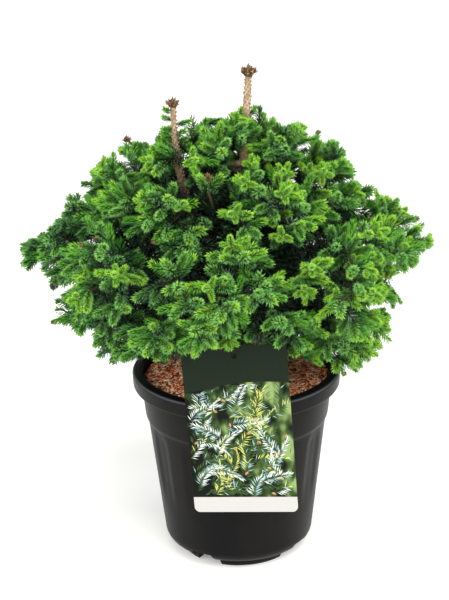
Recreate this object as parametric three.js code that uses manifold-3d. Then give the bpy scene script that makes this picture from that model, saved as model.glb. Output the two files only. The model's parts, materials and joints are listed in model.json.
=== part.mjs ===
// A dwarf spruce in a five-litre nursery pot, with its mulch and the card that hangs on the rim.
// Millimetres, +Z up. The origin is the middle of the pot's underside, and the front is towards -Y.
import * as THREE from "three";
import { mergeVertices } from "three/addons/utils/BufferGeometryUtils.js";
import Module from "manifold-3d";

const wasm = await Module();
wasm.setup();

const DEGREE = Math.PI / 180;
const GOLDEN_TURN = 137.508 * DEGREE;
const UP = new THREE.Vector3(0, 0, 1);
const FORWARD = new THREE.Vector3(0, 1, 0);

// Running gap between pieces that touch
const GAP = 0.3;
// How many places along a limb other growth is kept clear of, and along its own route
const SAMPLES = { trunk: 60, leader: 40, bough: 24, route: 200, growth: 8 };

// Pot: a tapering container with a flanged rim, a collar, shallow flutes and four feet
const POT = {
  height: 206,
  rimRadius: 110,
  rimWidth: 10.5,
  rimFall: 1.6,
  rimBand: 16.5,
  bandHem: 1.2,
  bandDraft: 0.5,
  lip: 2.5,
  collarTop: new THREE.Vector2(100.4, 186),
  collarFoot: new THREE.Vector2(97, 156),
  bodyTop: new THREE.Vector2(94.5, 150),
  bodyFoot: new THREE.Vector2(82, 45),
  cornerTop: new THREE.Vector2(79.6, 25),
  cornerFoot: new THREE.Vector2(64, 9),
  footRadius: 61.5,
  wall: 2.4,
  floor: 22,
  segments: 48,
};
const FLUTES = { count: 12, depth: 1.3, top: 148, foot: 62, margin: 1 };
const UNDERSIDE = { discRadius: 24, grooveOuter: 45, grooveDepth: 6, chamfer: 1.5 };
const NOTCHES = { count: 4, width: 31 * DEGREE, first: -31.5 * DEGREE, height: 18.5, overlap: 14.5 };

// Mulch: fills the pot to a little below the rim
const MULCH = { edgeHeight: 194, shoulderHeight: 195.6, middleHeight: 196, shoulder: 9 };

// Card: stands against the front of the rim, on a tongue that hooks over it
const CARD = {
  width: 107,
  height: 184,
  thickness: 0.8,
  corner: 6,
  middle: new THREE.Vector3(2.8, 0, 182),
  yaw: 8.7 * DEGREE,
  roll: 3.5 * DEGREE,
  holeRadius: 2.8,
  holeBelowTop: 12,
};
const TONGUE = { width: 14, thickness: 1, drop: 8, inset: 2 };

// Trunk: one leaning stem from the mulch to a bare leader with a head of buds
const TRUNK = {
  footRadius: 8.6,
  tipRadius: 2.9,
  flare: 5,
  flareFrom: 0.04,
  flareShare: 0.05,
  taperPower: 0.85,
  route: [
    [0, 0, 176],
    [0, 0, 210],
    [-3, 1, 262],
    [2, 3, 335],
    [10, 4, 415],
    [15, 5, 485],
    [17, 5, 521],
  ],
  sides: 7,
  steps: 10,
};
const SECOND_LEADER = {
  footRadius: 4.4,
  tipRadius: 2.5,
  route: [
    [1, 3, 318],
    [-24, -10, 352],
    [-47, -18, 398],
    [-56, -20, 443],
    [-59, -20, 496],
  ],
  sides: 5,
  steps: 6,
};
const BUDS = { count: 5, radius: 3.8, stretch: 1.4, ring: 4.4, unevenness: 1.5, crownLift: 5 };

// Crown: masses of foliage in four rings, each round its own bough
const CROWN = {
  centre: new THREE.Vector3(-13, 0, 320),
  unevenness: 0.05,
  middleDistance: 125,
  stemShare: 0.78,
  dome: 0.12,
  domeAngle: 29 * DEGREE,
  margin: 0.8,
  droopBelow: 20,
};
// How far growth stays from a limb, and from the pot, mulch and card
const CLEARANCE = { limb: 1, rigid: 2, slimEnds: 0.3 };
// Spread widens a ring to both sides, and lean to the right alone
const RINGS = [
  {
    name: "lower", count: 7, turn: -64, elevation: -19, reach: 181,
    spread: 0.04, lean: 0.055, bough: 244, rise: 12,
  },
  {
    name: "middle", count: 8, turn: -90, elevation: 5, reach: 206,
    spread: 0.08, lean: 0, bough: 290, rise: 14,
  },
  {
    name: "upper", count: 6, turn: -60, elevation: 41, reach: 178,
    spread: 0, lean: 0.02, bough: 340, rise: 8,
  },
  {
    name: "top", count: 3, turn: -6, elevation: 62, reach: 180,
    spread: 0, lean: 0, bough: 400, rise: 0,
  },
];
// The lower masses in front ride higher, over the card
const FRONT_LIFT = { width: 45 * DEGREE, elevation: 7 * DEGREE, rise: 18 };
// Dark hollows in the crown, by direction from its centre
const HOLLOWS = [
  { turn: -62, elevation: 21, radius: 12 },
  { turn: -84, elevation: -9, radius: 10 },
];
const BOUGH = { footRadius: 4.2, tipRadius: 2.6, sides: 5, steps: 4, stagger: 13, leastShare: 0.3 };
const STEM = { footRadius: 2.3, tipRadius: 1.3, sides: 4, steps: 2 };
const TWIG = { firstAt: 7, lastShare: 0.94, radius: 1.5, sides: 3, leans: [0.8, 0.3, 0], inSpray: 14 };
const SPRAY = { length: 48, radius: 14.5, teeth: 2, sink: 7, droop: 0.12, spacing: 23 };
// Its two whorls of needles, as shares of its length and radius, and the slim core between needles
const WHORLS = [
  { height: 0.5, radius: 1, core: 0.42, coreBack: 0.2 },
  { height: 0.88, radius: 0.8, core: 0.38, coreBack: 0.24 },
];
const SIDE_SPRAYS = { behind: [15, 25], lastShare: 0.8, scale: 0.9, splay: 60 * DEGREE, twist: 70 * DEGREE };
// Tips spread evenly over the crown, down to the lowest elevation; a crowded one leans back
const TIPS = { count: 150, lowest: -40 * DEGREE, leans: [0, 0.16, 0.32], uneven: 0.08 };

const COLOURS = {
  pot: 0x2b2b2d,
  mulch: 0x7c3a20,
  bark: 0x6d4b33,
  leader: 0xa9825a,
  foliage: 0x3f8f2a,
  card: 0x2a3a2c,
};

// Joins and cuts

function closedSolid(geometry) {
  const bare = geometry.clone();
  bare.deleteAttribute("normal");
  bare.deleteAttribute("uv");
  const merged = mergeVertices(bare, 1e-4);
  const index = merged.index.array;
  const kept = [];
  for (let i = 0; i < index.length; i += 3) {
    const [a, b, c] = [index[i], index[i + 1], index[i + 2]];
    if (a !== b && b !== c && c !== a) kept.push(a, b, c);
  }
  return new wasm.Manifold(
    new wasm.Mesh({
      numProp: 3,
      vertProperties: merged.attributes.position.array,
      triVerts: new Uint32Array(kept),
    }),
  );
}

function meshOf(name, solid, colour, roughness = 0.7) {
  const { vertProperties, triVerts } = solid.getMesh();
  const geometry = new THREE.BufferGeometry();
  geometry.setAttribute("position", new THREE.BufferAttribute(vertProperties, 3));
  geometry.setIndex(new THREE.BufferAttribute(triVerts, 1));
  geometry.computeVertexNormals();
  const material = new THREE.MeshStandardMaterial({ color: colour, roughness, metalness: 0 });
  const mesh = new THREE.Mesh(geometry, material);
  mesh.name = name;
  return mesh;
}

function joined(solids) {
  return solids.reduce((whole, next) => whole.add(next));
}

// Seeded numbers between 0 and 1, the same on every run
function seededNumbers(seed) {
  let state = seed >>> 0;
  return () => {
    state = (Math.imul(state, 1664525) + 1013904223) >>> 0;
    return state / 2 ** 32;
  };
}

function directionOf(turn, elevation) {
  return new THREE.Vector3(
    Math.cos(elevation) * Math.cos(turn),
    Math.cos(elevation) * Math.sin(turn),
    Math.sin(elevation),
  );
}

// Pot

const mouthRadius = POT.rimRadius - POT.rimWidth;

function innerWall() {
  const inset = (point) => new THREE.Vector2(point.x - POT.wall, point.y);
  return [
    new THREE.Vector2(POT.cornerFoot.x - POT.wall, POT.floor),
    inset(POT.cornerTop),
    inset(POT.bodyTop),
    inset(POT.collarTop),
    new THREE.Vector2(mouthRadius - GAP, POT.height - POT.rimBand),
    new THREE.Vector2(mouthRadius, POT.height - POT.bandHem),
  ];
}

function potProfile() {
  const { discRadius, grooveOuter, grooveDepth, chamfer } = UNDERSIDE;
  const points = [
    new THREE.Vector2(0, 0),
    new THREE.Vector2(discRadius, 0),
    new THREE.Vector2(discRadius + chamfer, grooveDepth),
    new THREE.Vector2(grooveOuter - chamfer, grooveDepth),
    new THREE.Vector2(grooveOuter, 0),
    new THREE.Vector2(POT.footRadius - 1, 0),
    new THREE.Vector2(POT.footRadius, 1),
    POT.cornerFoot,
  ];
  const across = POT.cornerTop.x - POT.cornerFoot.x;
  const rise = POT.cornerTop.y - POT.cornerFoot.y;
  for (const angle of [30, 60]) {
    const x = POT.cornerFoot.x + across * Math.sin(angle * DEGREE);
    const y = POT.cornerTop.y - rise * Math.cos(angle * DEGREE);
    points.push(new THREE.Vector2(x, y));
  }
  const body = new THREE.LineCurve(POT.bodyFoot, POT.bodyTop);
  const bodyAt = (height) => {
    const share = (height - POT.bodyFoot.y) / (POT.bodyTop.y - POT.bodyFoot.y);
    return body.getPoint(share);
  };
  const bandFoot = POT.height - POT.rimBand;
  points.push(
    POT.cornerTop,
    POT.bodyFoot,
    bodyAt(FLUTES.foot),
    bodyAt(FLUTES.top),
    POT.bodyTop,
    POT.collarFoot,
    POT.collarTop,
    new THREE.Vector2(POT.rimRadius - POT.wall - POT.bandDraft, bandFoot - POT.bandHem),
    new THREE.Vector2(POT.rimRadius - POT.bandDraft, bandFoot + POT.bandHem),
    new THREE.Vector2(POT.rimRadius, POT.height - POT.rimFall - POT.lip),
    new THREE.Vector2(POT.rimRadius - POT.bandDraft, POT.height - POT.rimFall - POT.bandHem),
    new THREE.Vector2(POT.rimRadius - POT.lip, POT.height - POT.rimFall),
    new THREE.Vector2(mouthRadius + POT.bandHem, POT.height),
    ...innerWall().reverse(),
    new THREE.Vector2(0, POT.floor),
  );
  return points;
}

// Presses shallow flutes in between the lands of the body
function pressFlutes(geometry) {
  const position = geometry.attributes.position;
  const turn = (2 * Math.PI) / FLUTES.count;
  const point = new THREE.Vector3();
  for (let i = 0; i < position.count; i++) {
    point.fromBufferAttribute(position, i);
    const radius = Math.hypot(point.x, point.z);
    const onBody = point.y > FLUTES.foot + FLUTES.margin && point.y < FLUTES.top + FLUTES.margin;
    if (!onBody || radius < POT.bodyFoot.x) continue;
    const place = Math.atan2(point.z, point.x) / turn;
    const onLand = Math.abs(place - Math.round(place)) > 0.1;
    if (onLand) continue;
    const pressed = (radius - FLUTES.depth) / radius;
    position.setXYZ(i, point.x * pressed, point.y, point.z * pressed);
  }
}

function notchCutter(turn) {
  const shape = new THREE.Shape();
  const inner = UNDERSIDE.grooveOuter - NOTCHES.overlap;
  const outer = POT.cornerTop.x;
  shape.absarc(0, 0, outer, turn - NOTCHES.width / 2, turn + NOTCHES.width / 2, false);
  shape.absarc(0, 0, inner, turn + NOTCHES.width / 2, turn - NOTCHES.width / 2, true);
  const options = { depth: NOTCHES.height + 1, bevelEnabled: false, curveSegments: 2 };
  return closedSolid(new THREE.ExtrudeGeometry(shape, options).translate(0, 0, -1));
}

function makePot() {
  const geometry = new THREE.LatheGeometry(potProfile(), POT.segments);
  pressFlutes(geometry);
  let pot = closedSolid(geometry.rotateX(Math.PI / 2));
  for (let i = 0; i < NOTCHES.count; i++) {
    const turn = -Math.PI / 2 + NOTCHES.first + (i * 2 * Math.PI) / NOTCHES.count;
    pot = pot.subtract(notchCutter(turn));
  }
  return meshOf("pot", pot, COLOURS.pot, 0.5);
}

// Mulch

function makeMulch() {
  const wall = innerWall()
    .filter((point) => point.y < MULCH.edgeHeight)
    .map((point) => new THREE.Vector2(point.x - 2 * GAP, point.y + GAP));
  const edge = wall[wall.length - 1];
  const profile = [
    new THREE.Vector2(0, POT.floor + GAP),
    ...wall,
    new THREE.Vector2(edge.x, MULCH.edgeHeight),
    new THREE.Vector2(edge.x - MULCH.shoulder, MULCH.shoulderHeight),
    new THREE.Vector2(0, MULCH.middleHeight),
  ];
  const geometry = new THREE.LatheGeometry(profile, POT.segments / 2);
  return meshOf("mulch", closedSolid(geometry.rotateX(Math.PI / 2)), COLOURS.mulch, 0.95);
}

// Card

function cardPlate() {
  const { width, height, corner, thickness } = CARD;
  const shape = new THREE.Shape();
  shape.moveTo(-width / 2, height / 2);
  shape.lineTo(-width / 2, -height / 2 + corner);
  shape.absarc(-width / 2 + corner, -height / 2 + corner, corner, Math.PI, 1.5 * Math.PI, false);
  shape.absarc(width / 2 - corner, -height / 2 + corner, corner, 1.5 * Math.PI, 2 * Math.PI, false);
  shape.lineTo(width / 2, height / 2);
  const hole = new THREE.Path();
  hole.absarc(0, height / 2 - CARD.holeBelowTop, CARD.holeRadius, 0, 2 * Math.PI, true);
  shape.holes.push(hole);
  const options = { depth: thickness, bevelEnabled: false, curveSegments: 5 };
  const plate = new THREE.ExtrudeGeometry(shape, options);
  return plate.rotateX(Math.PI / 2).rotateY(-CARD.roll);
}

// A folded strip at the card's back: in over the rim, then down inside it
function tongueStrip() {
  const over = POT.height - CARD.middle.z + GAP;
  const inside = POT.rimRadius - mouthRadius + 4 * GAP;
  const back = CARD.thickness / 2;
  const { thickness, drop, width } = TONGUE;
  const shape = new THREE.Shape();
  shape.moveTo(-back, over);
  shape.lineTo(inside, over);
  shape.lineTo(inside, over - drop);
  shape.lineTo(inside + thickness, over - drop);
  shape.lineTo(inside + thickness, over + thickness);
  shape.lineTo(-back, over + thickness);
  const options = { depth: width, bevelEnabled: false };
  const strip = new THREE.ExtrudeGeometry(shape, options).translate(0, 0, -width / 2);
  return strip.rotateX(Math.PI / 2).rotateZ(Math.PI / 2);
}

// The card is square to the radius where it touches the rim, and its tongue is on that radius
function makeCard() {
  const standOff = POT.rimRadius + GAP;
  const slide = CARD.middle.x + standOff * Math.sin(CARD.yaw);
  const tongue = tongueStrip().translate(-slide, 0, 0);
  const card = joined([closedSolid(cardPlate()), closedSolid(tongue)]);
  const mesh = meshOf("card", card, COLOURS.card, 0.45);
  const touch = new THREE.Vector3(-Math.sin(CARD.yaw), -Math.cos(CARD.yaw), 0);
  const along = new THREE.Vector3(Math.cos(CARD.yaw), -Math.sin(CARD.yaw), 0);
  mesh.position.copy(touch.multiplyScalar(standOff)).addScaledVector(along, slide);
  mesh.position.z = CARD.middle.z;
  mesh.rotation.z = -CARD.yaw;
  return mesh;
}

// Limbs

function curveThrough(route) {
  return new THREE.CatmullRomCurve3(route.map((place) => new THREE.Vector3(...place)));
}

// A closed tapering tube: a cylinder's rings laid along a curve
function limbGeometry(curve, radiusAt, sides, steps) {
  const geometry = new THREE.CylinderGeometry(1, 1, 1, sides, steps);
  const frames = curve.computeFrenetFrames(steps, false);
  const position = geometry.attributes.position;
  for (let i = 0; i < position.count; i++) {
    const share = position.getY(i) + 0.5;
    const ring = Math.round(share * steps);
    const radius = radiusAt(share);
    const point = curve.getPointAt(share);
    point.addScaledVector(frames.normals[ring], position.getX(i) * radius);
    point.addScaledVector(frames.binormals[ring], -position.getZ(i) * radius);
    position.setXYZ(i, point.x, point.y, point.z);
  }
  return geometry;
}

function taper(foot, tip) {
  return (share) => THREE.MathUtils.lerp(foot, tip, share);
}

function trunkRadius(share) {
  const pastFlare = Math.max(0, share - TRUNK.flareFrom);
  const flare = TRUNK.flare * Math.exp(-pastFlare / TRUNK.flareShare);
  return THREE.MathUtils.lerp(TRUNK.footRadius, TRUNK.tipRadius, share ** TRUNK.taperPower) + flare;
}

// Points along a limb with its radius at each, for keeping other growth clear of it
function sampledLimb(curve, radiusAt, count) {
  return Array.from({ length: count + 1 }, (_, i) => ({
    point: curve.getPointAt(i / count),
    radius: radiusAt(i / count),
  }));
}

function budHead(tip, seed) {
  const next = seededNumbers(seed);
  const buds = [];
  for (let i = 0; i <= BUDS.count; i++) {
    const turn = (i * 2 * Math.PI) / BUDS.count + next();
    const onTop = i === BUDS.count;
    const bud = new THREE.OctahedronGeometry(BUDS.radius, 0).scale(1, 1, BUDS.stretch);
    const ring = onTop ? 0 : BUDS.ring;
    const lift = onTop ? BUDS.crownLift : BUDS.unevenness * next();
    bud.translate(tip.x + ring * Math.cos(turn), tip.y + ring * Math.sin(turn), tip.z + lift);
    buds.push(closedSolid(bud));
  }
  return joined(buds);
}

const trunkCurve = curveThrough(TRUNK.route);
const secondCurve = curveThrough(SECOND_LEADER.route);
const secondRadius = taper(SECOND_LEADER.footRadius, SECOND_LEADER.tipRadius);
const mulchTop = MULCH.middleHeight + GAP;

function trunkSolid(extra) {
  const radiusAt = (share) => trunkRadius(share) + extra;
  return closedSolid(limbGeometry(trunkCurve, radiusAt, TRUNK.sides, TRUNK.steps));
}

const trunkClearance = trunkSolid(GAP);

function makeTrunk() {
  const side = 4 * TRUNK.footRadius;
  const ground = new THREE.BoxGeometry(side, side, side).translate(0, 0, mulchTop - side / 2);
  const stem = trunkSolid(0).subtract(closedSolid(ground));
  const trunk = stem.add(budHead(trunkCurve.getPointAt(1), 11));
  return meshOf("trunk", trunk, COLOURS.bark, 0.9);
}

function makeSecondLeader() {
  const { sides, steps } = SECOND_LEADER;
  const stem = closedSolid(limbGeometry(secondCurve, secondRadius, sides, steps));
  const leader = stem.subtract(trunkClearance).add(budHead(secondCurve.getPointAt(1), 23));
  return meshOf("second_leader", leader, COLOURS.leader, 0.9);
}

// Crown

// Each mass has a direction from the crown's centre, a reach, and a bough from the trunk
function listMasses() {
  const masses = [];
  for (const ring of RINGS) {
    for (let i = 0; i < ring.count; i++) {
      const seed = masses.length + 1;
      const next = seededNumbers(seed * 7919);
      const turn = ring.turn * DEGREE + (i * 2 * Math.PI) / ring.count;
      const fromFront = Math.abs(Math.asin(Math.sin((turn + Math.PI / 2) / 2))) * 2;
      const lifted = ring.name === "lower" && fromFront < FRONT_LIFT.width;
      const elevation = ring.elevation * DEGREE + (lifted ? FRONT_LIFT.elevation : 0);
      const spread = 1 + ring.spread * Math.cos(turn) ** 2 + ring.lean * Math.cos(turn);
      const uneven = 1 + CROWN.unevenness * (next() - 0.5);
      const reach = ring.reach * spread * uneven;
      const direction = directionOf(turn, elevation);
      // Neighbours leave the trunk at two heights, and the last of an odd ring at a third
      const level = i % 2 || i < ring.count - 1 || ring.count % 2 === 0 ? i % 2 : 2;
      const boughHeight = ring.bough + level * BOUGH.stagger;
      masses.push({ ring, number: i + 1, seed, lifted, direction, reach, boughHeight });
    }
  }
  for (const mass of masses) {
    mass.middle = CROWN.centre.clone().addScaledVector(mass.direction, CROWN.middleDistance);
  }
  return masses;
}

const masses = listMasses();

// A mass keeps to the points that lie nearer to its own middle than to any other's
function inOwnSpace(mass, point, margin) {
  return masses.every((other) => {
    if (other === mass) return true;
    const across = other.middle.clone().sub(mass.middle);
    const half = across.length() / 2;
    const along = point.clone().sub(mass.middle).dot(across.normalize());
    return along < half - margin;
  });
}

function trunkPointAt(height) {
  let low = 0;
  let high = 1;
  for (let i = 0; i < 24; i++) {
    const middle = (low + high) / 2;
    if (trunkCurve.getPointAt(middle).z < height) low = middle;
    else high = middle;
  }
  return trunkCurve.getPointAt(low);
}

// The route of a bough and its mass's stem, from the trunk outwards
function growthCurve(mass) {
  const foot = trunkPointAt(mass.boughHeight);
  const share = mass.reach * CROWN.stemShare;
  const end = CROWN.centre.clone().addScaledVector(mass.direction, share);
  const bend = foot.clone().lerp(end, 0.5);
  bend.z += mass.ring.rise + (mass.lifted ? FRONT_LIFT.rise : 0);
  return new THREE.QuadraticBezierCurve3(foot, bend, end);
}

// The part of a curve between two shares of its length
class PartCurve extends THREE.Curve {
  constructor(whole, from, to) {
    super();
    this.whole = whole;
    this.from = from;
    this.to = to;
  }

  getPoint(share, target = new THREE.Vector3()) {
    return this.whole.getPointAt(THREE.MathUtils.lerp(this.from, this.to, share), target);
  }
}

// Where the route comes into the mass's own space for good, as a share of its length
function entryShare(mass, curve) {
  let entry = 0;
  for (let i = 0; i <= SAMPLES.route; i++) {
    const point = curve.getPointAt(i / SAMPLES.route);
    const inside = inOwnSpace(mass, point, CROWN.margin + BOUGH.tipRadius);
    if (!inside) entry = (i + 1) / SAMPLES.route;
  }
  return Math.max(entry, BOUGH.leastShare);
}

for (const mass of masses) {
  const curve = growthCurve(mass);
  const length = curve.getLength();
  const entry = entryShare(mass, curve);
  const tipShare = entry - GAP / length;
  mass.bough = new PartCurve(curve, 0, tipShare);
  mass.stem = new PartCurve(curve, entry, 1);
  mass.boughRadius = taper(BOUGH.footRadius, BOUGH.tipRadius);
  mass.stemRadius = taper(STEM.footRadius, STEM.tipRadius);
}

const limbs = [
  sampledLimb(trunkCurve, trunkRadius, SAMPLES.trunk),
  sampledLimb(secondCurve, secondRadius, SAMPLES.leader),
  ...masses.map((mass) => sampledLimb(mass.bough, mass.boughRadius, SAMPLES.bough)),
];

function clearOfLimbs(point, radius) {
  return limbs.every((limb) =>
    limb.every((sample) => sample.point.distanceTo(point) > sample.radius + radius + CLEARANCE.limb),
  );
}

const cardMesh = makeCard();
cardMesh.updateMatrixWorld(true);
const cardInverse = cardMesh.matrixWorld.clone().invert();

// Growth stays off the pot, the mulch and the card
function clearOfPot(point, radius) {
  const room = radius + CLEARANCE.rigid;
  const outward = Math.hypot(point.x, point.y);
  const overMulch = point.z > MULCH.middleHeight + room;
  const inMouth = overMulch && outward < mouthRadius - TONGUE.inset - room;
  const potClear = point.z > POT.height + room || outward > POT.rimRadius + room || inMouth;
  const onCard = point.clone().applyMatrix4(cardInverse).applyAxisAngle(FORWARD, CARD.roll);
  const cardClear =
    Math.abs(onCard.x) > CARD.width / 2 + room ||
    onCard.z > CARD.height / 2 + room ||
    Math.abs(onCard.y) > room;
  return potClear && cardClear;
}

function inHollow(point) {
  return HOLLOWS.some((hollow) => {
    const direction = directionOf(hollow.turn * DEGREE, hollow.elevation * DEGREE);
    const offset = point.clone().sub(CROWN.centre);
    return offset.distanceTo(direction.multiplyScalar(offset.length())) < hollow.radius;
  });
}

// True if a straight piece of growth, slim at both ends, is clear of everything there
function clearAlong(from, to, radius) {
  for (let i = 0; i <= SAMPLES.growth; i++) {
    const point = from.clone().lerp(to, i / SAMPLES.growth);
    const atEnd = i === 0 || i === SAMPLES.growth;
    const near = atEnd ? radius * CLEARANCE.slimEnds : radius;
    if (!clearOfLimbs(point, near) || !clearOfPot(point, near)) return false;
  }
  return true;
}

function mayGrow(mass, from, to, radius) {
  const inSpace = [from, to].every((point) => inOwnSpace(mass, point, CROWN.margin + radius));
  return inSpace && clearAlong(from, to, radius);
}

function pointsOf(geometry) {
  const position = geometry.attributes.position;
  return Array.from({ length: position.count }, (_, i) =>
    new THREE.Vector3().fromBufferAttribute(position, i),
  );
}

// Moves a shape that rises from its own origin to grow from one point towards another
function standing(geometry, from, to) {
  const axis = to.clone().sub(from).normalize();
  geometry.applyQuaternion(new THREE.Quaternion().setFromUnitVectors(FORWARD, axis));
  return geometry.translate(from.x, from.y, from.z);
}

// A spray of needles: a slim core with two whorls of needles that stand out of it
function sprayGeometry(from, to, radius) {
  const length = from.distanceTo(to);
  const profile = [
    new THREE.Vector2(0, 0),
    ...WHORLS.map((whorl) => new THREE.Vector2(whorl.radius * radius, whorl.height * length)),
    new THREE.Vector2(0, length),
  ];
  const segments = 2 * SPRAY.teeth;
  const geometry = new THREE.LatheGeometry(profile, segments);
  const position = geometry.attributes.position;
  for (let i = 0; i <= segments; i++) {
    WHORLS.forEach(({ core, coreBack }, ring) => {
      const isNeedle = (i + ring) % 2 === 0;
      if (isNeedle) return;
      const at = i * profile.length + ring + 1;
      const height = position.getY(at) - coreBack * length;
      position.setXYZ(at, position.getX(at) * core, height, position.getZ(at) * core);
    });
  }
  return standing(geometry, from, to);
}

function twigGeometry(from, to) {
  const length = from.distanceTo(to);
  const geometry = new THREE.ConeGeometry(TWIG.radius, length, TWIG.sides);
  return standing(geometry.translate(0, length / 2, 0), from, to);
}

// Two directions square to an axis
function sidesOf(axis) {
  const across = new THREE.Vector3().crossVectors(axis, UP).normalize();
  return [across, new THREE.Vector3().crossVectors(across, axis).normalize()];
}

// Directions spread over the crown in a sunflower spiral, from the top down
function crownDirections() {
  const depth = 1 - Math.sin(TIPS.lowest);
  return Array.from({ length: TIPS.count }, (_, i) => {
    const height = 1 - (depth * (i + 0.5)) / TIPS.count;
    return directionOf(i * GOLDEN_TURN, Math.asin(height));
  });
}

// How far growth reaches in a direction: most on the mass's own axis, less to its sides
function tipPoint(mass, direction, unevenness) {
  const open = mass.direction.angleTo(direction) / CROWN.domeAngle;
  const reach = mass.reach * (1 - CROWN.dome * Math.min(1, open * open)) * (1 - unevenness);
  return CROWN.centre.clone().addScaledVector(direction, reach);
}

// The mass that a direction from the crown's centre runs through
function ownerOf(direction) {
  return masses.reduce((a, b) =>
    a.direction.dot(direction) >= b.direction.dot(direction) ? a : b,
  );
}

// A point on the middle line of the stem as it is built, straight from ring to ring
function onStem(mass, share) {
  const place = share * STEM.steps;
  const ring = Math.min(Math.floor(place), STEM.steps - 1);
  const from = mass.stem.getPointAt(ring / STEM.steps);
  const to = mass.stem.getPointAt((ring + 1) / STEM.steps);
  return from.lerp(to, place - ring);
}

// The point of the stem that a twig leaves, leaning forward to its tip
function twigRoot(mass, tip, lean) {
  const foot = mass.stem.getPointAt(0);
  const end = mass.stem.getPointAt(1);
  const along = end.clone().sub(foot);
  const length = along.length();
  along.normalize();
  const forward = tip.clone().sub(foot).dot(along);
  const sideways = foot.clone().addScaledVector(along, forward).distanceTo(tip);
  const share = (forward - lean * sideways) / length;
  return onStem(mass, THREE.MathUtils.clamp(share, TWIG.firstAt / length, TWIG.lastShare));
}

function addSpray(mass, pieces, from, direction, length) {
  const start = from.clone().addScaledVector(direction, -SPRAY.sink);
  const end = from.clone().addScaledVector(direction, length - SPRAY.sink);
  const radius = SPRAY.radius * (length / SPRAY.length);
  const middle = start.clone().lerp(end, (WHORLS[0].height + WHORLS[1].height) / 2);
  const crowded = mass.sprayMiddles.some((other) => other.distanceTo(middle) < SPRAY.spacing);
  if (crowded || inHollow(end) || !clearAlong(start, end, radius)) return false;
  const geometry = sprayGeometry(start, end, radius);
  if (!pointsOf(geometry).every((point) => inOwnSpace(mass, point, CROWN.margin))) return false;
  mass.sprayMiddles.push(middle);
  pieces.push(closedSolid(geometry));
  return true;
}

// Side sprays leave the twig on alternate sides, a little behind its tip
function addSideSprays(mass, pieces, root, end, aim, next) {
  const back = root.clone().sub(end);
  const length = back.length();
  back.normalize();
  const [across] = sidesOf(aim);
  const tilt = (next() - 0.5) * SIDE_SPRAYS.twist;
  across.applyAxisAngle(aim, tilt);
  const first = next() < 0.5 ? 1 : -1;
  SIDE_SPRAYS.behind.forEach((behind, i) => {
    const side = i % 2 ? -first : first;
    const base = end.clone().addScaledVector(back, Math.min(behind, SIDE_SPRAYS.lastShare * length));
    const direction = aim.clone().multiplyScalar(Math.cos(SIDE_SPRAYS.splay));
    direction.addScaledVector(across, side * Math.sin(SIDE_SPRAYS.splay)).normalize();
    addSpray(mass, pieces, base, direction, SPRAY.length * SIDE_SPRAYS.scale);
  });
}

// One twig with its sprays, if there is room for it
function addTwig(mass, pieces, direction, lean, unevenness, next) {
  const tip = tipPoint(mass, direction, unevenness);
  const root = twigRoot(mass, tip, lean);
  const aim = tip.clone().sub(root).normalize().add(direction).normalize();
  if (mass.ring.elevation < CROWN.droopBelow) aim.z -= SPRAY.droop;
  aim.normalize();
  const end = tip.clone().addScaledVector(aim, SPRAY.sink - SPRAY.length);
  if (!mayGrow(mass, root, end, TWIG.radius)) return false;
  if (!addSpray(mass, pieces, end, aim, SPRAY.length)) return false;
  const twigEnd = end.clone().lerp(root, -TWIG.inSpray / end.distanceTo(root));
  pieces.push(closedSolid(twigGeometry(root, twigEnd)));
  addSideSprays(mass, pieces, root, end, aim, next);
  return true;
}

function massSolid(mass) {
  const next = seededNumbers(mass.seed * 104729);
  const stem = limbGeometry(mass.stem, mass.stemRadius, STEM.sides, STEM.steps);
  const pieces = [closedSolid(stem)];
  mass.sprayMiddles = [];
  addTwig(mass, pieces, mass.direction, TWIG.leans[0], 0, next);
  for (const direction of mass.directions) {
    const unevenness = TIPS.uneven * next();
    TIPS.leans.some((lean) => {
      const leaning = direction.clone().lerp(mass.direction, lean).normalize();
      return TWIG.leans.some((twigLean) =>
        addTwig(mass, pieces, leaning, twigLean, unevenness, next),
      );
    });
  }
  return joined(pieces);
}

// The largest body, where a piece of a join stands alone
function wholeOf(solid) {
  const bodies = solid.decompose();
  return bodies.reduce((a, b) => (a.volume() > b.volume() ? a : b));
}

function makeBough(mass) {
  const geometry = limbGeometry(mass.bough, mass.boughRadius, BOUGH.sides, BOUGH.steps);
  const solid = wholeOf(closedSolid(geometry).subtract(trunkClearance));
  return meshOf(`bough_${mass.ring.name}_${mass.number}`, solid, COLOURS.bark, 0.9);
}

function makeMass(mass) {
  const solid = wholeOf(massSolid(mass));
  return meshOf(`foliage_${mass.ring.name}_${mass.number}`, solid, COLOURS.foliage, 0.8);
}

// Assembly

for (const mass of masses) mass.directions = [];
for (const direction of crownDirections()) ownerOf(direction).directions.push(direction);

const plant = new THREE.Group();
plant.add(makePot(), makeMulch(), cardMesh, makeTrunk(), makeSecondLeader());
for (const mass of masses) plant.add(makeBough(mass), makeMass(mass));

export default plant;
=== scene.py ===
"""Dresses a dwarf spruce in its nursery pot: needles, twigs, bark, mulch, pot and plant card.

Everything is in metres, +Z up, with the front towards -Y. The growth rule works in millimetres, as the
model's own source does, and its meshes are scaled as they are made.
"""

import json
import logging
from contextlib import contextmanager
from dataclasses import dataclass, field
from enum import Enum
from math import acos, asin, atan, ceil, cos, exp, hypot, pi, sin
from typing import Callable, Iterable, Iterator, Sequence

import bpy
import numpy as np
from mathutils import Matrix, Vector
from numpy.linalg import norm

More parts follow.
